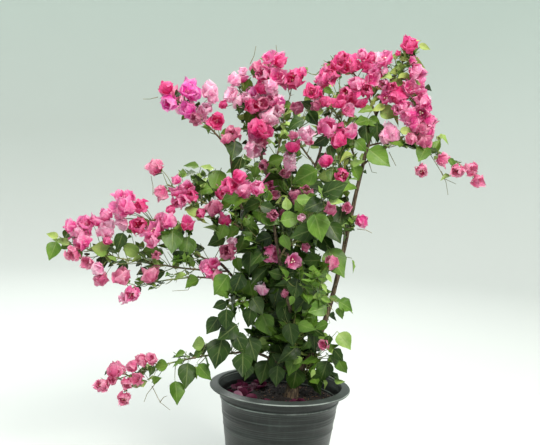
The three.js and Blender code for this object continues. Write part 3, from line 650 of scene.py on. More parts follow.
# A near leaf's kind is partly its own green and partly painted light and shade: deep for leaves in shade,
# light for leaves in the light.
NEAR_LEAVES = [
    (192, 166, 18, 170, "mid"), (190, 173, 15, 185, "mid"), (208, 168, 16, 175, "light"),
    (217, 180, 26, 250, "mid"), (205, 189, 22, 190, "mid"), (234, 150, 24, 260, "deep"),
    (237, 164, 22, 240, "deep"), (256, 72, 14, 290, "mid"), (246, 86, 20, 240, "mid"),
    (249, 118, 18, 250, "mid"), (240, 108, 16, 265, "deep"), (286, 105, 14, 180, "mid"),
    (291, 112, 16, 200, "light"), (296, 121, 20, 190, "deep"), (311, 115, 16, 310, "deep"),
    (325, 112, 18, 200, "mid"), (305, 176, 34, 205, "mid"), (282, 185, 30, 265, "mid"),
    (334, 189, 32, 20, "deep"), (350, 145, 18, 20, "mid"), (361, 145, 18, 320, "mid"),
    (378, 157, 30, 320, "mid"), (396, 141, 20, 170, "mid"), (422, 154, 22, 240, "mid"),
    (436, 147, 20, 60, "mid"), (445, 138, 17, 345, "light"), (346, 158, 19, 200, "young"),
    (357, 164, 18, 340, "light"), (405, 60, 15, 350, "young"), (424, 47, 14, 335, "young"),
    (395, 71, 15, 200, "young"), (405, 79, 19, 355, "young"), (385, 76, 18, 170, "light"),
    (376, 90, 18, 240, "light"), (371, 103, 17, 210, "young"), (379, 108, 17, 200, "young"),
    (388, 113, 22, 340, "light"), (362, 122, 20, 200, "mid"), (374, 122, 16, 330, "mid"),
    (322, 142, 20, 230, "deep"), (416, 65, 18, 345, "light"), (414, 79, 18, 350, "light"),
    (397, 82, 16, 170, "light"), (381, 86, 14, 20, "young"), (378, 98, 16, 210, "light"),
    (366, 111, 18, 190, "light"), (396, 118, 17, 325, "young"), (352, 121, 18, 200, "mid"),
    (376, 131, 20, 260, "deep"), (366, 133, 22, 270, "deep"), (406, 131, 15, 355, "young"),
    (331, 152, 18, 280, "deep"), (418, 42, 9, 30, "young"), (345, 164, 15, 230, "young"),
    (356, 173, 18, 300, "mid"), (336, 200, 18, 20, "light"), (283, 200, 17, 200, "young"),
    (262, 190, 16, 230, "mid"), (285, 149, 16, 200, "mid"), (293, 152, 16, 320, "mid"),
    (279, 129, 14, 240, "deep"), (313, 118, 20, 300, "deep"), (287, 116, 16, 260, "light"),
    (308, 105, 16, 150, "deep"), (243, 80, 16, 290, "light"), (414, 141, 18, 200, "light"),
    (332, 176, 16, 260, "mid"), (240, 201, 20, 190, "mid"), (226, 205, 20, 210, "mid"),
    (252, 205, 22, 200, "deep"), (268, 208, 20, 340, "deep"), (222, 232, 20, 250, "mid"),
    (452, 163, 14, 300, "mid"), (446, 178, 14, 200, "light"), (53, 235, 15, 160, "young"),
    (54, 250, 22, 250, "mid"), (64, 240, 18, 140, "light"), (77, 253, 17, 300, "mid"),
    (101, 249, 24, 168, "light"), (102, 263, 18, 255, "deep"), (120, 241, 22, 250, "deep"),
    (131, 249, 24, 150, "light"), (150, 250, 22, 190, "mid"), (173, 240, 29, 268, "mid"),
    (187, 247, 26, 265, "mid"), (193, 211, 20, 330, "light"), (202, 221, 17, 330, "young"),
    (211, 211, 18, 20, "mid"), (179, 276, 18, 190, "light"), (192, 283, 20, 205, "mid"),
    (217, 241, 22, 200, "deep"), (226, 258, 16, 200, "light"), (187, 374, 29, 265, "deep"),
    (177, 391, 26, 280, "mid"), (204, 371, 22, 310, "mid"), (197, 344, 20, 185, "light"),
    (161, 366, 18, 187, "mid"), (196, 353, 16, 190, "mid"), (180, 354, 14, 200, "mid"),
    (178, 362, 16, 200, "mid"), (140, 384, 20, 200, "light"), (157, 380, 12, 30, "mid"),
    (219, 351, 34, 255, "deep"), (226, 318, 23, 265, "deep"), (213, 325, 24, 235, "deep"),
    (220, 305, 18, 205, "deep"), (232, 303, 20, 250, "deep"), (222, 284, 28, 235, "mid"),
    (238, 264, 17, 280, "mid"), (232, 232, 20, 210, "mid"), (212, 229, 18, 150, "light"),
    (252, 228, 24, 95, "mid"), (270, 218, 22, 340, "mid"), (290, 219, 24, 10, "mid"),
    (232, 197, 24, 200, "mid"), (276, 160, 20, 20, "mid"), (255, 172, 16, 250, "mid"),
    (303, 233, 30, 200, "deep"), (319, 226, 34, 290, "mid"), (341, 216, 26, 260, "deep"),
    (334, 232, 26, 300, "deep"), (314, 205, 24, 200, "deep"), (305, 200, 22, 0, "mid"),
    (286, 242, 21, 290, "mid"), (312, 261, 23, 185, "deep"), (335, 262, 38, 298, "mid"),
    (353, 266, 16, 280, "light"), (327, 269, 11, 330, "light"), (329, 278, 11, 300, "light"),
    (324, 288, 12, 300, "light"), (323, 276, 17, 285, "mid"), (267, 264, 20, 20, "mid"),
    (296, 288, 28, 260, "deep"), (276, 297, 26, 250, "deep"), (285, 312, 34, 265, "deep"),
    (266, 324, 28, 290, "mid"), (262, 340, 17, 200, "light"), (318, 309, 23, 195, "mid"),
    (297, 318, 26, 250, "mid"), (305, 327, 19, 330, "mid"), (322, 326, 17, 200, "mid"),
    (316, 296, 12, 200, "light"), (346, 305, 21, 332, "mid"), (349, 310, 12, 320, "light"),
    (340, 313, 15, 265, "mid"), (334, 316, 12, 280, "deep"), (322, 336, 15, 190, "light"),
    (344, 340, 22, 308, "light"), (328, 340, 12, 250, "deep"), (281, 347, 31, 300, "deep"),
    (277, 363, 26, 300, "deep"), (306, 347, 17, 250, "deep"), (311, 361, 21, 200, "mid"),
    (297, 360, 14, 200, "light"), (324, 370, 25, 250, "deep"), (313, 373, 10, 260, "light"),
    (338, 354, 17, 310, "deep"), (339, 380, 12, 350, "light"), (326, 385, 14, 300, "light"),
    (295, 379, 28, 260, "deep"), (312, 390, 22, 265, "deep"), (277, 375, 24, 265, "deep"),
    (280, 391, 15, 250, "light"), (240, 342, 27, 300, "deep"), (243, 363, 27, 270, "deep"),
    (264, 370, 27, 250, "deep"), (229, 331, 26, 220, "deep"), (250, 262, 28, 265, "deep"),
    (251, 290, 28, 280, "mid"), (249, 317, 26, 255, "deep"), (252, 348, 28, 285, "deep"),
    (246, 371, 20, 265, "deep"), (238, 283, 24, 250, "deep"), (257, 305, 24, 300, "deep"),
    (291, 333, 26, 280, "deep"), (293, 362, 26, 250, "mid"), (314, 340, 24, 270, "deep"),
    (242, 244, 24, 240, "mid"), (263, 240, 24, 200, "deep"), (302, 303, 26, 230, "deep"),
    (326, 300, 13, 340, "light"), (341, 367, 20, 290, "mid"),
]
print(sum(map(len, NEAR_BLOOMS.values())), "near blooms,", len(NEAR_LEAVES), "near leaves")

# %% [markdown]
# Until they are placed, they tell the rule where the crown is in flower, where it is only green, and what it
# may not hide. The leafy heart, green up the middle, bears blooms of the rule on its far side only.

# %% In flower or green
LEAFY_HEART = [(216, 222), (345, 222), (342, 385), (226, 385)]
FAR_SIDE, BLOOM_MARGIN, LEAF_CORE, HOLE_CORE = 170 * MM, 1, 0.36, 0.7
SPARE = 6 * MM
bloom_points = [((x, y), width / 2, kind) for kind, blooms in NEAR_BLOOMS.items() for x, y, width in blooms]


def nearest_bloom(place):
    """How far outside the nearest near bloom a place shows, in pixels, and the colour of that bloom."""
    pixel = seen_at(place)
    return min((math.dist(point, pixel) - radius, kind) for point, radius, kind in bloom_points)


def in_flower(place):
    """Whether the crown is in flower at a place: behind a near bloom, or on the leafy heart's far side."""
    if inside_outline(seen_at(place), LEAFY_HEART):
        return place.y > FAR_SIDE and noise.noise(place * 30) > 0
    return nearest_bloom(place)[0] < BLOOM_MARGIN


def hides_near(place):
    """Whether a thing at a place would hide a near bloom or leaf."""
    pixel = seen_at(place)
    if nearest_bloom(place)[0] < BLOOM_MARGIN:
        return True
    return any(math.dist((x, y), pixel) < length * LEAF_CORE for x, y, length, *_ in NEAR_LEAVES)


def in_the_way(base, end, half):
    """Whether a blade from one place to another would cover the middle of a hole."""
    (ax, ay), (bx, by) = seen_at(base), seen_at(end)
    dx, dy = bx - ax, by - ay
    for x, y, radius in OPEN_SKY:
        share = max(0, min(1, ((x - ax) * dx + (y - ay) * dy) / (dx * dx + dy * dy + 1e-9)))
        apart = math.hypot(x - ax - share * dx, y - ay - share * dy)
        if apart < radius * HOLE_CORE + half * math.sin(math.pi * share) + 0.5:
            return True
    return False


def within_reach(place):
    """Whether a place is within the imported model's box, or at most a few millimetres past it."""
    return all(low - SPARE < n < high + SPARE for n, low, high in zip(place, *cad_box))


print("the top of the crown bears the colour", nearest_bloom(Vector((-58, -5, 922)) * MM)[1])

# %% [markdown]
# The crown is gathered in lists before any mesh is made: runs of wood and twig, and placings of leaves and
# blooms, each under the name of its kind. A placing is the number of a form, of which each kind has several,
# and a matrix that lays the form's length along one way and turns its face to another.

# %% Lists of what grows
woody_runs, green_runs, thorn_runs = [], [], []
LEAF_KINDS = ("deep", "mid", "light", "young")
BLOOM_KINDS = ("magenta", "deep", "hot", "pale", "rose", "dusky")
LEAF_HALF, NEAR_SCALE = 0.14, PIXELS / 2
BLOOM_HALF = 0.34
leaf_places = {kind: [] for kind in LEAF_KINDS}
bloom_places = {kind: [] for kind in BLOOM_KINDS}


def laid(place, along, facing, size, width=1):
    """A matrix that lays a shape's Y along one way, turns its Z to face another, and sizes it."""
    y = along.normalized()
    x = y.cross(facing).normalized()
    z = x.cross(y)
    turned = Matrix((x, y, z)).transposed().to_4x4()
    return Matrix.Translation(place) @ turned @ Matrix.Diagonal((size * width, size, size, 1))


def grow_leaf(place, along, facing, size, kind, foot):
    """Adds a leaf where it is clear of the pot, shows well and, on its stem's near side, hides nothing."""
    along = along.normalized()
    points = [place + along * (size * share) for share in (0.45, 0.95)]
    if points[0].y < foot.y and hides_near(points[0]):
        return False
    if in_the_way(place, points[1], size * LEAF_HALF * NEAR_SCALE):
        return False
    if not all(clear_of_pot(p) and shows_well(p) and within_reach(p) for p in points):
        return False
    matrix = laid(place, along, facing, size, 0.9 + 0.18 * noise.noise(place * 90))
    leaf_places[kind].append((len(leaf_places[kind]), matrix))
    return True


def grow_bloom(place, along, size, kind, form, seen=False, foot=None):
    """Adds a bloom that opens along a way, where it is clear of the pot and, unless seen, shows well."""
    along = along.normalized()
    middle = place + along * (size * 0.5)
    edges = [middle + step * (size * BLOOM_HALF) for step in (right, above, -right, -above)]
    if not clear_of_pot(middle) or (foot and middle.y < foot.y and hides_near(middle)):
        return False
    if not seen and not all(shows_well(p) and in_flower(p) and within_reach(p) for p in [middle] + edges):
        return False
    facing = Vector(noise.noise_vector(place * 70)) + EAST * 0.2
    bloom_places[kind].append((form, laid(place, along, facing, size)))
    return True


# %% [markdown]
# Each stem bears nodes a golden angle apart, and each node a shoot that leaves the stem sideways and
# forward and then bends up to the light. Leaves stand one by one along the shoot. Past the share where
# blooms begin, the shoot ends in a loose cluster of blooms on thin stalks, and before it in young leaves.
# A shoot in flower has fewer and smaller leaves. In the shade of the column and the leafy heart more leaves
# take the darker greens, as painted shade, and towards the right of the crown, where the light falls, a few
# more take the paler greens, as painted light.

# %% A shoot
FINER = 3
FIRST_NODE, FORWARD, SHORTER = 0.14, 0.75, 0.4
LEAF_SHARE, LEAF_STEP, BLOOM_SIZE = 0.78, 13.5 * MM, 34 * MM
FLOWERING_STEP, FLOWERING_LEAF = 1.6, 0.61
MID_SHARE, LIGHT_BELOW, PAINTED_LIGHT_BIAS = 0.38, 0.95, 0.1


def spread(random, amount):
    """A small random step in space."""
    return Vector([mix(-amount, amount, next(random)) for _ in range(3)])


def grow_shoot(foot, way, length, blooming, leaf, painted_shade_share, random):
    """Grows one shoot with its leaves, and its blooms or young leaves at the end."""
    lift = UP * (length * mix(-0.05, 0.3, next(random)))
    handles = [foot + way * (length * 0.45), foot + way * (length * 0.8) + lift * 0.3]
    bend = [foot, *handles, foot + way * length + lift]
    count = max(2, round(length / (LEAF_STEP * (FLOWERING_STEP if blooming else 1))))
    borne = 0
    for k in range(count):
        share = (k + 0.8) / count
        place, along = on_curve(bend, min(share, 1))
        out = outward(along, k * math.pi * 0.78 + next(random))
        aim = out + along * 0.6 + UP * mix(-1.2, 0.1, next(random)) + spread(random, 0.3)
        facing = UP * 0.8 + out * mix(0.1, 0.9, next(random)) + spread(random, 1.0)
        size = leaf * mix(0.38, 1.04, next(random)) * (FLOWERING_LEAF if blooming else 1)
        # Paler kinds towards the right of the crown, where the light falls: painted light.
        chance = next(random) + max(-PAINTED_LIGHT_BIAS, min(PAINTED_LIGHT_BIAS, (place.x - 0.05) * 2))
        limits = (painted_shade_share, painted_shade_share + MID_SHARE, LIGHT_BELOW, 2)
        kind = next(kind for kind, limit in zip(LEAF_KINDS, limits) if chance < limit)
        borne += grow_leaf(place, aim, facing, size, kind, foot)
    tip, along = on_curve(bend, 1)
    if blooming and in_flower(tip):
        for k in range(1 + (next(random) < 0.7) + (next(random) < 0.3)):
            out = outward(along, k * 2.1 + next(random) * 2)
            aim = (along * 0.7 + out * 0.75 + UP * 0.25 + spread(random, 0.3)).normalized()
            stalk = mix(9, 17, next(random)) * MM
            size = BLOOM_SIZE * mix(0.86, 1.12, next(random))
            kind = nearest_bloom(tip)[1] if next(random) < 0.7 else BLOOM_KINDS[2 + int(next(random) * 3)]
            if grow_bloom(tip + aim * stalk, aim, size, kind, len(bloom_places[kind]), foot=foot):
                bow = [tip, tip + aim * (stalk * 0.5) + UP * MM, tip + aim * stalk]
                green_runs.append((bow, [0.6 * MM, 0.5 * MM, 0.6 * MM]))
                borne += 1
    else:
        for k in range(2):
            aim = along + outward(along, k * 3 + next(random)) * 0.6 + UP * 0.2
            size, kind = leaf * mix(0.4, 0.6, next(random)), "mid" if painted_shade_share > 0.5 or k else "light"
            borne += grow_leaf(tip, aim, UP - ahead * 0.4, size, kind, foot)
    if borne:
        places = [on_curve(bend, s / 5)[0] for s in range(6)]
        green_runs.append((places, [mix(1.1, 0.6, s / 5) * MM for s in range(6)]))
    return borne


# %% [markdown]
# A spray is a stem with its shoots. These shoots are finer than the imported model's, so there are three times
# as many on the same stem. The stem ends at its last shoot that bears anything, and a thorn stands at every
# third node.

# %% All sprays
def grow_spray(name):
    """Grows a whole spray or a mass of column leaves. In the column and the leafy heart more leaves are dark,
    as painted shade.
    """
    limb, at, tip, arch, reach, nodes, begin, leaf, seed = SPRAYS[name]
    stem, fine = stems[name], nodes * FINER
    # More dark kinds in the column and the leafy heart: painted shade.
    painted_shade_share = 0.62 if limb == "trunk" or inside_outline(seen_at(stem[3]), LEAFY_HEART) else 0.38
    last = 0
    for i in range(fine):
        random = stream(seed * 1000 + i)
        share = mix(FIRST_NODE, 1, (i + 0.7) / fine)
        foot, along = on_stem(stem, share)
        out = outward(along, i * GOLDEN_ANGLE + next(random))
        way = (out + along * FORWARD + UP * 0.25).normalized()
        length = reach * MM * (1 - SHORTER * share) * mix(0.55, 1.15, next(random))
        if grow_shoot(foot, way, length, share > begin, leaf * MM * LEAF_SHARE, painted_shade_share, random):
            last = share
        if i % 3 == 0 and last:
            thorn = foot + outward(along, i * 2.4 + 2) * (9 * MM) + along * (4 * MM)
            thorn_runs.append(([foot, (foot + thorn) / 2, thorn], [0.7 * MM, 0.45 * MM, 0.08 * MM]))
    last, steps = min(1, last + 0.04), 20
    places = [on_stem(stem, last * s / steps)[0] for s in range(steps + 1)]
    radii = [mix(2.4, 1.0, last * s / steps) * MM for s in range(steps + 1)]
    wood = 9 if limb != "trunk" else 5
    woody_runs.append((places[: wood + 1], radii[: wood + 1]))
    green_runs.append((places[wood:], radii[wood:]))


for name in SPRAYS:
    grow_spray(name)
print(sum(map(len, leaf_places.values())), "leaves by the rule")
print(sum(map(len, bloom_places.values())), "blooms by the rule")

# %% [markdown]
# Now the near blooms are placed, and with them the near leaves, each at its point of the picture. Each is
# carried by a stem that passes close to that point, the nearer to the eye the better, and stands a little in
# front of it. Its twig leaves the stem a little further back, so that the crown hangs together from any side.
# A wide bloom gets one of the open forms, fitted so that all forms show their width, and a large leaf one of
# the three flattest, which come first.

# %% Stems that carry them
WIDE_BLOOMS, SMALL_BLOOMS, FLAT_LEAVES = (1, 5, 3, 4), (0, 2, 1), 3
FORM_FITS = (1.03, 1.0, 0.91, 1.0, 0.84, 0.76)
NEAR_COST, FAR_COST, STEM_SAMPLES, LARGE_LEAF, INSET = 50, 100, 30, 22, 14 * MM
BARE_TWIGS = [
    [(250, 64), (254, 56), (256, 46)], [(272, 58), (277, 52), (276, 45)],
    [(430, 154), (440, 170), (446, 182), (448, 195)], [(441, 171), (445, 179), (456, 184)],
    [(152, 386), (160, 402), (170, 410)], [(155, 384), (147, 394), (144, 402)],
    [(160, 402), (164, 397), (167, 396)], [(196, 276), (188, 290), (172, 291)],
    [(135, 260), (142, 264), (134, 286)], [(153, 195), (153, 186), (151, 176)],
    [(300, 152), (307, 158), (313, 162)], [(357, 229), (366, 230), (372, 233)],
    [(158, 97), (150, 99), (143, 99)], [(368, 160), (372, 172), (377, 173)],
    [(389, 152), (393, 160), (396, 166)],
]

samples = []
for name, stem in stems.items():
    for step in range(2, STEM_SAMPLES + 1):
        place = on_stem(stem, step / STEM_SAMPLES)[0]
        samples.append((seen_at(place), place, stem, step / STEM_SAMPLES))


def carrier(pixel, back):
    """A place on the stem that serves a point of the picture best, a little back, and the stem's depth."""

    def cost(sample):
        shows, place, *_ = sample
        return math.dist(shows, pixel) + (FAR_COST if place.y > 0 else NEAR_COST) * place.y

    _, place, stem, share = min(samples, key=cost)
    return on_stem(stem, max(0.04, share - back))[0], (place - CAMERA_AT).dot(ahead)


def nearest_depth(pixel):
    """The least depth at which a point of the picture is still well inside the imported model's box."""
    ray = place_at(pixel, 1) - CAMERA_AT
    return (cad_box[0][1] + INSET - CAMERA_AT.y) / ray.y


print(len(samples), "places along the stems")

# %% Near blooms in place
twig_ends = 0
for kind, blooms in NEAR_BLOOMS.items():
    for i, (x, y, width) in enumerate(blooms):
        random, pixel = stream(9000 + 97 * i + 7 * len(kind) + x), (x, y)
        foot, depth = carrier(pixel, 0.07)
        among_leaves = kind == "dusky" or inside_outline(pixel, LEAFY_HEART)
        nearer = mix(18, 42, next(random)) + (18 if among_leaves else 0)
        middle = place_at(pixel, max(depth - nearer * MM, nearest_depth(pixel)))
        reach = middle - foot
        aim = reach.normalized() * 0.6 + UP * 0.3 - ahead * mix(-0.45, 0.4, next(random))
        aim = (aim + spread(random, 0.6)).normalized()
        form = WIDE_BLOOMS[i % 4] if width > 15 and kind != "rose" else SMALL_BLOOMS[i % 3]
        size = width * depth / PIXELS * mix(0.94, 1.06, next(random)) * FORM_FITS[form]
        base = middle - aim * (size * 0.5)
        if grow_bloom(base, aim, size, kind, form, seen=True):
            bow = foot + (base - foot) * 0.5 + UP * (0.12 * reach.length)
            places = [on_curve([foot, (foot + bow) / 2, bow, base], s / 6)[0] for s in range(7)]
            green_runs.append((places, [mix(1.0, 0.55, s / 6) * MM for s in range(7)]))
            twig_ends += 1
print(twig_ends, "near blooms in place")

# %% Near leaves and bare twigs in place
for i, (x, y, length, angle, kind) in enumerate(NEAR_LEAVES):
    random = stream(12000 + i)
    foot, depth = carrier((x, y), 0.03)
    depth -= mix(*((20, 52) if inside_outline((x, y), LEAFY_HEART) else (2, 24)), next(random)) * MM
    lie = math.radians(angle)
    half = Vector((math.cos(lie), math.sin(lie))) * (length * 0.5)
    depth = max(depth, nearest_depth((x, y)))
    base, end = place_at((x - half.x, y + half.y), depth), place_at((x + half.x, y - half.y), depth)
    along = end - base - ahead * mix(-0.2, 0.5, next(random)) * (end - base).length
    turned = 1 if length < LARGE_LEAF else 0.55
    facing = -ahead + UP * (mix(0.0, 1.1, next(random)) * turned) + spread(random, 0.8 * turned)
    if clear_of_pot(base) and clear_of_pot(end):
        form = i if length < LARGE_LEAF - 1 else i % FLAT_LEAVES
        slim = kind == "young" or (kind == "light" and length < 20)
        width = mix(0.86, 1.06, next(random)) * (0.7 if slim else 1)
        leaf_places[kind].append((form, laid(base, along, facing, along.length, width)))
        bow = (foot + base) / 2 + UP * (4 * MM)
        green_runs.append(([foot, bow, base], [0.9 * MM, 0.7 * MM, 0.6 * MM]))
        twig_ends += 1
for pixels in BARE_TWIGS:
    depth = carrier(pixels[0], 0)[1]
    places = [place_at(pixel, depth) for pixel in pixels]
    thorn_runs.append((places, [mix(0.8, 0.35, i / len(places)) * MM for i in range(len(places))]))
print(twig_ends, "twigs to blooms and leaves that were set by hand")

# %% [markdown]
# Twigs are green where they are young and brown where they join the wood. Bougainvillea has thorns at its
# nodes, so each third node carries one, a short spine that thins to a point.

# %% Twigs
masses = list(SPRAYS)


def twig_material(name, colour, other, gloss):
    """Smooth living rind, between two colours along the twig."""
    material, tree = new_material(name)
    where = add(tree, "TexCoord").outputs["Object"]
    patches = add(tree, "TexNoise", {"Vector": where, "Scale": 60, "Detail": 4})
    share = add(tree, "MapRange", {"Value": patches, "From Min": 0.35, "From Max": 0.65})
    shade = add(tree, "Mix", {0: share, 6: colour, 7: other}, data_type="RGBA")
    fine = add(tree, "TexNoise", {"Vector": where, "Scale": 900, "Detail": 3})
    relief = add(tree, "Bump", {"Height": fine, "Strength": 0.3, "Distance": 0.0004})
    skin = add(tree, "BsdfPrincipled", {"Base Color": shade, "Roughness": gloss, "Normal": relief})
    add(tree, "OutputMaterial", {"Surface": skin})
    return material


rind_brown = twig_material("twig_rind_brown", "#4C3B28", "#6E6244", 0.75)
rind_green = twig_material("twig_rind_green", "#4E6B33", "#7A7A40", 0.55)
rind_thorn = twig_material("thorn_rind_grey_green", "#5D6A45", "#8A7B57", 0.6)
piece("stems_woody", tubes("stems_woody", woody_runs, 1), rind_brown, masses)
piece("twigs_green", tubes("twigs_green", green_runs, 0), rind_green, masses)
piece("thorns_and_bare_twigs", tubes("thorns_and_bare_twigs", thorn_runs, 0), rind_thorn, masses)

# %% [markdown]
# A leaf is egg-shaped with a drawn-out tip, on a short stalk, folded a little along its midrib and drooping.
# It starts as a flat grid, whose rows are drawn in to the leaf's outline, closest at its round base, and then
# bent. A few shapes with different folds and droops keep the crown from looking stamped.

# %% Leaf shapes
LEAF_OUTLINE = [
    (0, 0.012), (0.11, 0.013), (0.135, 0.08), (0.18, 0.2), (0.26, 0.3), (0.38, 0.355), (0.54, 0.335),
    (0.7, 0.24), (0.86, 0.1), (1, 0.004),
]
LEAF_BENDS = [
    (0.3, 0.22, 0.05, 0.1), (0.16, 0.5, 0.08, -0.3), (0.12, -0.1, 0.08, 0.3), (0.6, 0.12, 0.05, 0.2),
    (0.38, 0.9, 0.07, -0.15), (0.85, 0.45, 0.06, -0.4), (0.22, 1.2, 0.09, 0.25),
]


def shape_arrays(shape):
    """Corners, faces and UV places of a small shape, as arrays."""
    shape.verts.index_update()
    layer = shape.loops.layers.uv.active
    corners = np.array([vert.co for vert in shape.verts])
    faces = [[vert.index for vert in face.verts] for face in shape.faces]
    places = np.array([loop[layer].uv if layer else (0, 0) for face in shape.faces for loop in face.loops])
    shape.free()
    return corners, faces, places


def flat_grid(across, along):
    """A unit grid: X from -1 to 1 across, Y from 0 to 1 along, with the same UV map."""
    shape = bmesh.new()
    shape.loops.layers.uv.new("UVMap")
    bmesh.ops.create_grid(shape, x_segments=across, y_segments=along, size=0.5, calc_uvs=True)
    bmesh.ops.translate(shape, verts=shape.verts, vec=(0, 0.5, 0))
    bmesh.ops.scale(shape, verts=shape.verts, vec=(2, 1, 1))
    return shape


def leaf_shape(fold, droop, wave, twist):
    """A blade that is folded, drooping, wavy at its edge and twisted, each by its own amount."""
    rows = len(LEAF_OUTLINE) - 1
    shape = flat_grid(4, rows)
    for vert in shape.verts:
        side, (along, half) = vert.co.x, LEAF_OUTLINE[round(vert.co.y * rows)]
        x = side * half
        z = fold * abs(x) - droop * along**2 * 0.5 + wave * abs(side) * half * math.sin(along * 16 + side) * 2
        turn = twist * along
        y = along * (1 - 0.12 * abs(droop) * along)
        vert.co = (x * math.cos(turn) - z * math.sin(turn) * 0.3, y, z + x * math.sin(turn))
    return shape_arrays(shape)


leaf_shapes = [leaf_shape(*bend) for bend in LEAF_BENDS]
print(len(leaf_shapes[0][1]), "faces in a leaf")

# %% [markdown]
# Thousands of copies are quickest as one mesh: each placing matrix is applied to the corners of a small
# shape with numpy, and the faces are numbered on from copy to copy.

# %% Many copies in one mesh
def copies(name, shapes, placings):
    """One mesh with a copy of a shape at each placing, which gives the shape's number and a matrix."""
    all_corners, all_faces, all_places, count = [], [], [], 0
    for k, (corners, faces, places) in enumerate(shapes):
        mine = [np.array(matrix) for form, matrix in placings if form % len(shapes) == k]
        if not mine:
            continue
        stack = np.array(mine)
        moved = corners @ stack[:, :3, :3].transpose(0, 2, 1) + stack[:, None, :3, 3]
        all_corners.append(moved.reshape(-1, 3))
        firsts = [count + n * len(corners) for n in range(len(mine))]
        all_faces += [[first + i for i in face] for first in firsts for face in faces]
        all_places.append(np.tile(places.reshape(-1), len(mine)))
        count += len(mine) * len(corners)
    mesh = bpy.data.meshes.new(name)
    mesh.from_pydata(np.concatenate(all_corners).tolist(), [], all_faces)
    mesh.uv_layers.new(name="UVMap").uv.foreach_set("vector", np.concatenate(all_places).astype(np.float32))
    mesh.update()
    return mesh


# %% [markdown]
# A bougainvillea leaf is tough and slightly waxy, so it takes a soft gleam from the sky. Its midrib and side
# veins are paler and sunk a little. They follow the leaf, so they are drawn from its UV map: the midrib where
# U is a half, and the side veins as slanted bands on both sides of it. A bract has a midrib too, so what
# draws it is a function.

# %% Leaf finish
def midrib(tree, narrow, wide):
    """Coordinates, the distance from the middle of a blade, the place along it, and its midrib."""
    coords = add(tree, "TexCoord").outputs
    axes = add(tree, "SeparateXYZ", {0: coords["UV"]}).outputs
    off = add(tree, "Math", {0: axes["X"], 1: 0.5}, operation="SUBTRACT")
    side = add(tree, "Math", {0: off}, operation="ABSOLUTE")
    edges = {"From Min": narrow, "From Max": wide, "To Min": 1, "To Max": 0}
    rib = add(tree, "MapRange", {"Value": side, **edges})
    return coords, side, axes["Y"], rib


def leaf_material(name, colour, other):
    """A waxy leaf between two greens, with paler veins."""
    material, tree = new_material(name)
    coords, side, along, rib = midrib(tree, 0.012, 0.05)
    slant = add(tree, "Math", {0: side, 1: -0.55, 2: along}, operation="MULTIPLY_ADD")
    bands = add(tree, "Math", {0: slant, 1: 9.5}, operation="MULTIPLY")
    wave = add(tree, "Math", {0: bands, 1: 1}, operation="PINGPONG")
    vein = add(tree, "MapRange", {"Value": wave, "From Max": 0.16, "To Min": 0.55, "To Max": 0})
    lines = add(tree, "Math", {0: rib, 1: vein}, operation="MAXIMUM")
    patches = add(tree, "TexNoise", {"Vector": coords["Object"], "Scale": 22, "Detail": 2})
    mottle = add(tree, "TexNoise", {"Vector": coords["Object"], "Scale": 240, "Detail": 4})
    share = add(tree, "MapRange", {"Value": patches, "From Min": 0.36, "From Max": 0.64})
    blade = add(tree, "Mix", {0: share, 6: colour, 7: other}, data_type="RGBA")
    spots = add(tree, "MapRange", {"Value": mottle, "From Min": 0.5, "From Max": 0.75, "To Max": 0.25})
    spotted = add(tree, "Mix", {0: spots, 6: blade, 7: "#2C400F"}, data_type="RGBA")
    thin = add(tree, "Math", {0: lines, 1: 0.17}, operation="MULTIPLY")
    veined = add(tree, "Mix", {0: thin, 6: spotted, 7: "#ABB874"}, data_type="RGBA")
    sunk = add(tree, "Math", {0: 1, 1: lines}, operation="SUBTRACT")
    relief = add(tree, "Bump", {"Height": sunk, "Strength": 0.4, "Distance": 0.0008})
    surface = {"Base Color": veined, "Roughness": 0.42, "Normal": relief, "IOR": 1.33}
    skin = add(tree, "BsdfPrincipled", surface)
    add(tree, "OutputMaterial", {"Surface": skin})
    return material


# Besides the leaves' own greens, the deep and light kinds also serve as painted shade and painted light.
LEAF_COLOURS = {
    "deep": ("#162D09", "#304917"),
    "mid": ("#3D5D1A", "#5F812D"),
    "light": ("#6C8C3C", "#94AC60"),
    "young": ("#88A046", "#B0C072"),
}
for kind, colours in LEAF_COLOURS.items():
    finish = leaf_material(f"leaf_waxy_{kind}", *colours)
    mesh = copies(f"leaves_{kind}", leaf_shapes, leaf_places[kind])
    piece(f"leaves_{kind}", mesh, finish, masses)

# %% [markdown]
# What looks like a petal is a bract, a thin coloured leaf. Three of them stand round three slim florets like
# a paper lantern. Each bract is again a grid: it swells outward near its base, leans in, and turns out again
# at its tip. Six blooms, from almost closed to wide open, are dealt out in turn.

# %% Bloom shapes
BRACT_OUTLINE = [
    (0, 0.08), (0.07, 0.24), (0.17, 0.38), (0.3, 0.46), (0.45, 0.49), (0.6, 0.485), (0.74, 0.43),
    (0.86, 0.33), (0.95, 0.19), (1, 0.06),
]
OPENINGS = [(68, 8, -30), (70, 12, -12), (64, 20, 4), (72, 16, -22), (62, 30, 20), (68, 36, 40)]
LINE_STEPS = 20


def bract_line(opening):
    """Radii and heights along the middle of a bract, from its slope at the base, the middle and the tip."""
    radii, heights = [0.03], [0.0]
    for step in range(LINE_STEPS):
        slope = math.radians(float(np.interp(step / LINE_STEPS, (0, 0.45, 1), opening)))
        radii.append(radii[-1] + math.sin(slope) / LINE_STEPS)
        heights.append(heights[-1] + math.cos(slope) / LINE_STEPS)
    return radii, heights


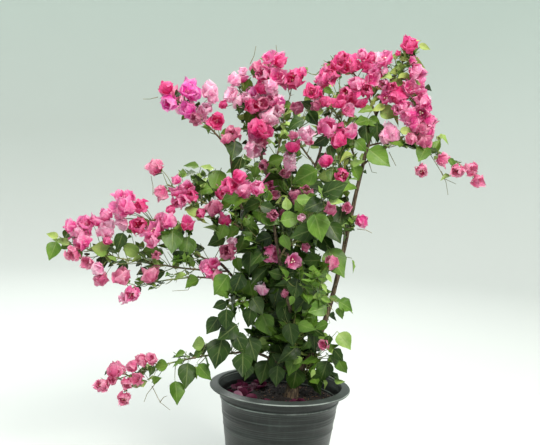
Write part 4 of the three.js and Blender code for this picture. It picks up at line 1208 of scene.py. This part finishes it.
def bloom_shape(opening, seed):
    """Three bracts round the florets, and in every second shape two smaller ones crowded in between."""
    bloom = bmesh.new()
    bloom.loops.layers.uv.new("UVMap")
    radii, heights = bract_line(opening)
    for k in range(5 if seed % 2 else 3):
        bract = flat_grid(6, 7)
        turn = 2 * math.pi * (k / 3 if k < 3 else k / 3 + 0.5) + 0.25 * math.sin(seed * 3 + k)
        tall = (1 if k < 3 else 0.8) + 0.08 * math.sin(seed * 5 + k * 2)
        for vert in bract.verts:
            side, along = vert.co.x, vert.co.y
            half = float(np.interp(along, *zip(*BRACT_OUTLINE)))
            radius = float(np.interp(along * LINE_STEPS, range(LINE_STEPS + 1), radii))
            height = float(np.interp(along * LINE_STEPS, range(LINE_STEPS + 1), heights))
            ruffle = (0.03 + 0.1 * side * side) * math.sin(along * 11 + side * 3.5 + seed * 1.7 + k * 2)
            ruffle += 0.04 * math.sin(side * 7 + along * 4 + seed + k)
            radial = radius * tall * (1 if k < 3 else 0.8) - 0.62 * half * side * side + ruffle
            sideways = side * half * 1.06
            x = radial * math.cos(turn) - sideways * math.sin(turn)
            z = radial * math.sin(turn) + sideways * math.cos(turn)
            vert.co = (x, height * tall + 0.5 * ruffle, z)
        part = mesh_of(bract, "bract")
        bloom.from_mesh(part)
        bpy.data.meshes.remove(part)
    return shape_arrays(bloom)


bloom_shapes = [bloom_shape(opening, i) for i, opening in enumerate(OPENINGS)]
print(len(bloom_shapes[0][1]), "faces in a bloom")

# %% [markdown]
# A bract is as thin as tissue paper: matt, crinkled along a net of veins, and so translucent that a bloom
# with the light behind it glows. A Translucent shader mixed into the main one gives that glow. The colour is
# fullest in the middle and near the base of the bract, as painted shade in its cup, and pales to painted
# highlights towards its edge and tip and in scattered patches.

# %% Bract finish
def bract_material(name, colour, highlight_colour, vein, glow):
    """A papery bract with darker veins, painted highlights at its edge and tip and in patches, painted shade
    at its base, and the colour of the light through it.
    """
    material, tree = new_material(name)
    coords, side, along, rib = midrib(tree, 0.01, 0.06)
    cells = {"Vector": coords["UV"], "Scale": 7, "Randomness": 0.9}
    net = add(tree, "TexVoronoi", cells, feature="DISTANCE_TO_EDGE")
    mesh = add(tree, "MapRange", {"Value": net, "From Max": 0.07, "To Min": 0.6, "To Max": 0})
    lines = add(tree, "Math", {0: rib, 1: mesh}, operation="MAXIMUM")
    patches = add(tree, "TexNoise", {"Vector": coords["Object"], "Scale": 42, "Detail": 3})
    # Painted light: paler towards the edge and tip and in patches; fuller colour at the base is painted shade.
    painted_edge_highlight = add(tree, "MapRange", {"Value": side, "From Min": 0.3, "From Max": 0.5, "To Max": 0.65})
    tip_light_base_shade = add(tree, "MapRange", {"Value": along, "From Min": 0.25, "To Min": -0.3, "To Max": 0.5})
    painted_highlight_patches = add(tree, "MapRange", {"Value": patches, "From Min": 0.46, "From Max": 0.66, "To Max": 0.6})
    painted_rim_light_base_shade = add(tree, "Math", {0: painted_edge_highlight, 1: tip_light_base_shade}, operation="ADD")
    painted_light_share = add(tree, "Math", {0: painted_rim_light_base_shade, 1: painted_highlight_patches}, operation="ADD", use_clamp=True)
    paper = add(tree, "Mix", {0: painted_light_share, 6: colour, 7: highlight_colour}, data_type="RGBA")
    thin = add(tree, "Math", {0: lines, 1: 0.42}, operation="MULTIPLY")
    veined = add(tree, "Mix", {0: thin, 6: paper, 7: vein}, data_type="RGBA")
    relief = add(tree, "Bump", {"Height": lines, "Strength": 0.7, "Distance": 0.0012})
    surface = {"Base Color": veined, "Roughness": 0.62, "Normal": relief, "IOR": 1.4}
    skin = add(tree, "BsdfPrincipled", surface)
    through = add(tree, "BsdfTranslucent", {"Color": glow, "Normal": relief})
    both = add(tree, "MixShader", {0: 0.42, 1: skin, 2: through})
    add(tree, "OutputMaterial", {"Surface": both})
    return material


BRACT_COLOURS = {
    "magenta": ("#E63CB0", "#FDB2E4", "#B41E8A", "#FF78D4"),
    "deep": ("#D8297A", "#F688BC", "#A41858", "#F4589C"),
    "hot": ("#E44698", "#FCBCDC", "#C02E76", "#F888C2"),
    "pale": ("#F89CCA", "#FFE4F2", "#D46C9E", "#FFD0E8"),
    "rose": ("#D46092", "#F4B6CE", "#A83A68", "#F490B6"),
    # A darker copy of the bract for blooms in shade: painted shade.
    "dusky": ("#AE4A72", "#D892AC", "#6E284A", "#CC6E92"),
}
for kind, colours in BRACT_COLOURS.items():
    finish = bract_material(f"bract_papery_{kind}", *colours)
    mesh = copies(f"blooms_{kind}", bloom_shapes, bloom_places[kind])
    piece(f"blooms_{kind}", mesh, finish, masses)

# %% [markdown]
# The true flowers are the three slim tubes inside the bracts, and they open one after another in small cream
# stars. Every bloom gets its tubes, as small cones, and one in six has its stars open.

# %% Florets
all_blooms = [(0, matrix) for kind in BLOOM_KINDS for _, matrix in bloom_places[kind]]
tube = bmesh.new()
star = bmesh.new()
slim = {"cap_ends": True, "segments": 5, "radius1": 0.024, "radius2": 0.036, "depth": 0.46}
upright = Matrix.Rotation(math.radians(-90), 4, "X")
for k in range(3):
    lean = Matrix.Rotation(2 * math.pi * k / 3 + 0.5, 4, "Y") @ Matrix.Rotation(math.radians(-14), 4, "X")
    stand = lean @ Matrix.Translation((0, 0.27, 0)) @ upright
    bmesh.ops.create_cone(tube, matrix=stand, **slim)
    top = lean @ Matrix.Translation((0, 0.51, 0)) @ upright
    ring = bmesh.ops.create_circle(star, cap_ends=True, segments=10, radius=0.075, matrix=top)["verts"]
    centre = top.translation
    for n, vert in enumerate(ring):
        vert.co = centre + (vert.co - centre) * (0.5 if n % 2 else 1.1)
tube_shapes, star_shapes = [shape_arrays(tube)], [shape_arrays(star)]


def plain_material(name, colour, other, roughness, scale):
    """A soft living surface, mottled between two colours."""
    material, tree = new_material(name)
    where = add(tree, "TexCoord").outputs["Object"]
    patches = add(tree, "TexNoise", {"Vector": where, "Scale": scale, "Detail": 5, "Roughness": 0.6})
    shade = add(tree, "Mix", {0: patches, 6: colour, 7: other}, data_type="RGBA")
    relief = add(tree, "Bump", {"Height": patches, "Strength": 0.5, "Distance": 0.5 / scale})
    skin = add(tree, "BsdfPrincipled", {"Base Color": shade, "Roughness": roughness, "Normal": relief})
    add(tree, "OutputMaterial", {"Surface": skin})
    return material


tube_finish = plain_material("floret_tube_rosy_green", "#B04A70", "#C67C88", 0.6, 400)
star_finish = plain_material("floret_star_cream", "#E6DDB4", "#F4EFD6", 0.6, 400)
tube_mesh = copies("floret_tubes", tube_shapes, all_blooms)
star_mesh = copies("floret_stars", star_shapes, all_blooms[::6])
piece("floret_tubes", tube_mesh, tube_finish, masses, smooth=False)
piece("floret_stars", star_mesh, star_finish, masses, smooth=False)

# %% [markdown]
# The potting mix is damp peat with bark chips, a little lower than the rim and uneven. It is turned like
# the pot, and its top is then pushed up and down by noise. Crumbs lie on it, and bracts that have fallen
# and faded, most of them to the left and the front.

# %% Potting mix
SOIL_FOOT, SOIL_EDGE, SOIL_RADIUS, SOIL_FLAT, SEAT_GAP = 8, 217, 121, 62, 0.6
SOIL_RINGS, SOIL_STEPS, LUMP_HEIGHT = 24, 120, 2.8 * MM


def soil_height(radius):
    """The height of the mix, in millimetres: level round the trunk and sloping down to the pot's wall."""
    return mix(SOIL_EDGE, SOIL_TOP, min(1, (SOIL_RADIUS - radius) / (SOIL_RADIUS - SOIL_FLAT)))


def on_soil(radius, turn, lift):
    """A place at a radius and a turn round the trunk, some millimetres above the mix."""
    return Vector((radius * math.cos(turn), radius * math.sin(turn), soil_height(radius) + lift)) * MM


side_profile = [(wall_radius(h) - WALL - SEAT_GAP, h) for h in (SOIL_FOOT, 60, 120, 180, SOIL_EDGE - 3)]
top_radii = [mix(wall_radius(SOIL_EDGE) - WALL - SEAT_GAP, 0, n / SOIL_RINGS) for n in range(SOIL_RINGS + 1)]
top_profile = [(radius, soil_height(radius)) for radius in top_radii]
soil = spun([(0, SOIL_FOOT)] + side_profile + top_profile, SOIL_STEPS)
for vert in soil.verts:
    if vert.co.z > (SOIL_EDGE - 0.5) * MM:
        lumps = noise.fractal(vert.co * 95, 0.9, 2.1, 5)
        vert.co.z += lumps * LUMP_HEIGHT * min(1, (0.1215 - math.hypot(vert.co.x, vert.co.y)) / 0.01)
print(len(soil.verts), "corners in the bed of mix")

# %% Potting mix finish: damp peat
peat, tree = new_material("potting_mix_damp_peat")
where = add(tree, "TexCoord").outputs["Object"]
crumb = add(tree, "TexVoronoi", {"Vector": where, "Scale": 260}, feature="F1")
clod = add(tree, "TexNoise", {"Vector": where, "Scale": 90, "Detail": 9, "Roughness": 0.72})
dry = add(tree, "MapRange", {"Value": clod, "From Min": 0.5, "From Max": 0.72, "To Max": 0.5})
wet = add(tree, "Mix", {0: crumb, 6: "#0B0706", 7: "#211713"}, data_type="RGBA")
earth = add(tree, "Mix", {0: dry, 6: wet, 7: "#382B22"}, data_type="RGBA")
grain_bump = add(tree, "Bump", {"Height": crumb, "Strength": 0.8, "Distance": 0.002})
clod_bump = add(tree, "Bump", {"Height": clod, "Normal": grain_bump, "Strength": 0.9, "Distance": 0.004})
skin = add(tree, "BsdfPrincipled", {"Base Color": earth, "Roughness": 0.93, "Normal": clod_bump})
add(tree, "OutputMaterial", {"Surface": skin})
piece("potting_mix_bed", soil, peat, ["potting_mix"])

# %% Crumbs
CRUMBS, CRUMB_RADIUS = 900, 119


def lump_shape(seed):
    """A small ball, flattened and dented by noise."""
    shape = bmesh.new()
    bmesh.ops.create_icosphere(shape, subdivisions=1, radius=1)
    for vert in shape.verts:
        vert.co *= 0.75 + 0.5 * noise.noise(vert.co * 2 + Vector((seed * 7.3, 0, 0)))
        vert.co.z *= 0.62
    return shape_arrays(shape)


random = stream(500)
crumb_places, chip_places = [], []
for i in range(CRUMBS):
    radius, turn = CRUMB_RADIUS * math.sqrt(next(random)), next(random) * 2 * math.pi
    size = mix(1.2, 3.6, next(random) ** 2)
    tumble = Matrix.Rotation(next(random) * 6, 4, "Z") @ Matrix.Rotation(next(random) - 0.5, 4, "X")
    stretch = Matrix.Diagonal((mix(0.8, 2.2, next(random)), 1, 1, 1))
    matrix = Matrix.Translation(on_soil(radius, turn, 0.4)) @ tumble @ stretch @ Matrix.Scale(size * MM, 4)
    lot = chip_places if i % 4 == 0 else crumb_places
    lot.append((len(lot), matrix))
lump_shapes = [lump_shape(i) for i in range(4)]
chips = plain_material("pine_bark_chips", "#4A3324", "#7C5B3F", 0.85, 300)
crumb_mesh = copies("crumbs_peat", lump_shapes, crumb_places)
chip_mesh = copies("chips_bark", lump_shapes, chip_places)
piece("crumbs_peat", crumb_mesh, peat, ["potting_mix"], smooth=False)
piece("chips_bark", chip_mesh, chips, ["potting_mix"], smooth=False)

# %% [markdown]
# Fallen bracts have lost their glow and lie flat or curled. They use the bract's own outline, one by one,
# and a few of them have bleached.

# %% Fallen bracts
FALLEN, BLEACHED, FALLEN_RADIUS = 44, 4, 114


def fallen_shape(curl):
    """A single bract, curled up at its ends and sides."""
    shape = flat_grid(4, 6)
    for vert in shape.verts:
        side, along = vert.co.x, vert.co.y
        half = float(np.interp(along, *zip(*BRACT_OUTLINE)))
        vert.co = (side * half, along, curl * (side * side * half + (along - 0.5) ** 2))
    return shape_arrays(shape)


random = stream(640)
fallen_places = []
while len(fallen_places) < FALLEN:
    radius = FALLEN_RADIUS * math.sqrt(mix(0.3, 1, next(random)))
    turn = math.radians(mix(120, 320, next(random) ** 1.6))
    place = on_soil(radius, turn, mix(2, 9, next(random)))
    lie = Vector((math.cos(next(random) * 6.3), math.sin(next(random) * 6.3), mix(-0.1, 0.2, next(random))))
    if math.hypot(*(place + lie * 0.03).xy) < 0.118:
        matrix = laid(place, lie, UP + spread(random, 0.8), mix(15, 25, next(random)) * MM)
        fallen_places.append((len(fallen_places), matrix))
faded = bract_material("bract_fallen_faded", "#581A36", "#7E3558", "#300B1B", "#5A1E38")
bleached = bract_material("bract_fallen_bleached", "#C07898", "#E6C2D0", "#985874", "#C890AC")
curled = [fallen_shape(c) for c in (0.4, 0.9, -0.5)]
faded_mesh = copies("fallen_bracts", curled, fallen_places[BLEACHED:])
bleached_mesh = copies("fallen_bracts_pale", curled, fallen_places[:BLEACHED])
piece("fallen_bracts", faded_mesh, faded, ["potting_mix"])
piece("fallen_bracts_pale", bleached_mesh, bleached, ["potting_mix"])

# %% [markdown]
# The set is a pale dish: a level floor that curves up all round into a low wall, so that no horizon line
# crosses the picture and the plant has the same ground from every side. It is plain matt paint.

# %% Stage
DISH_FLOOR, DISH_CURVE, DISH_WALL, DISH_STEPS = 3200, 1600, 2600, 72
turns = [math.pi / 2 * n / 12 for n in range(13)]
sweep = [(DISH_FLOOR + DISH_CURVE * math.sin(a), DISH_CURVE - DISH_CURVE * math.cos(a)) for a in turns]
dish = spun([(0, 0)] + sweep + [(DISH_FLOOR + DISH_CURVE, DISH_WALL)], DISH_STEPS)
bmesh.ops.reverse_faces(dish, faces=dish.faces)
paint, tree = new_material("stage_matt_paint")
where = add(tree, "TexCoord").outputs["Object"]
far = add(tree, "VectorMath", {0: where}, operation="LENGTH")
spread_out = add(tree, "MapRange", {"Value": far, "From Min": 0.4, "From Max": 3.4})
ground = add(tree, "Mix", {0: spread_out, 6: "#C4C9C6", 7: "#CFD4D1"}, data_type="RGBA")
height = add(tree, "SeparateXYZ", {0: where}).outputs["Z"]
climb = add(tree, "MapRange", {"Value": height, "From Max": 1.8})
tone = add(tree, "Mix", {0: climb, 6: ground, 7: "#C4D2CC"}, data_type="RGBA")
skin = add(tree, "BsdfPrincipled", {"Base Color": tone, "Roughness": 0.95})
add(tree, "OutputMaterial", {"Surface": skin})
dish_mesh = mesh_of(dish, "stage_dish")
dish_mesh.materials.append(paint)
dish_mesh.shade_smooth()
linked("stage_dish", dish_mesh)

# %% [markdown]
# The light is that of a bright day under cloth: a pale sky all round and one large soft panel high to the
# right front, with a second behind the plant that lets the bracts glow.

# %% Light
world = bpy.data.worlds.new("pale_sky")
world.use_nodes = True
world.node_tree.nodes["Background"].inputs["Color"].default_value = linear("#F1F3F1")
world.node_tree.nodes["Background"].inputs["Strength"].default_value = 0.68
bpy.context.scene.world = world


def panel(name, place, aim, size, power, colour="#FFFFFF"):
    """A square soft light that faces a point."""
    light = bpy.data.lights.new(name, "AREA")
    light.size, light.energy, light.color = size, power, linear(colour)[:3]
    turned = (Vector(aim) - Vector(place)).to_track_quat("-Z", "Y").to_matrix().to_4x4()
    linked(name, light).matrix_world = Matrix.Translation(place) @ turned


panel("panel_key", (1.1, -2.3, 3.0), (0, 0, 0.55), 1.3, 150, "#FFFBF2")
panel("panel_back", (-0.9, 1.9, 2.9), (0, 0, 0.6), 1.6, 70)
panel("panel_top", (0.2, 0.0, 3.6), (0, 0, 0.5), 1.8, 45)
bpy.context.scene.view_settings.view_transform = "Standard"
print("three panels and a pale sky")
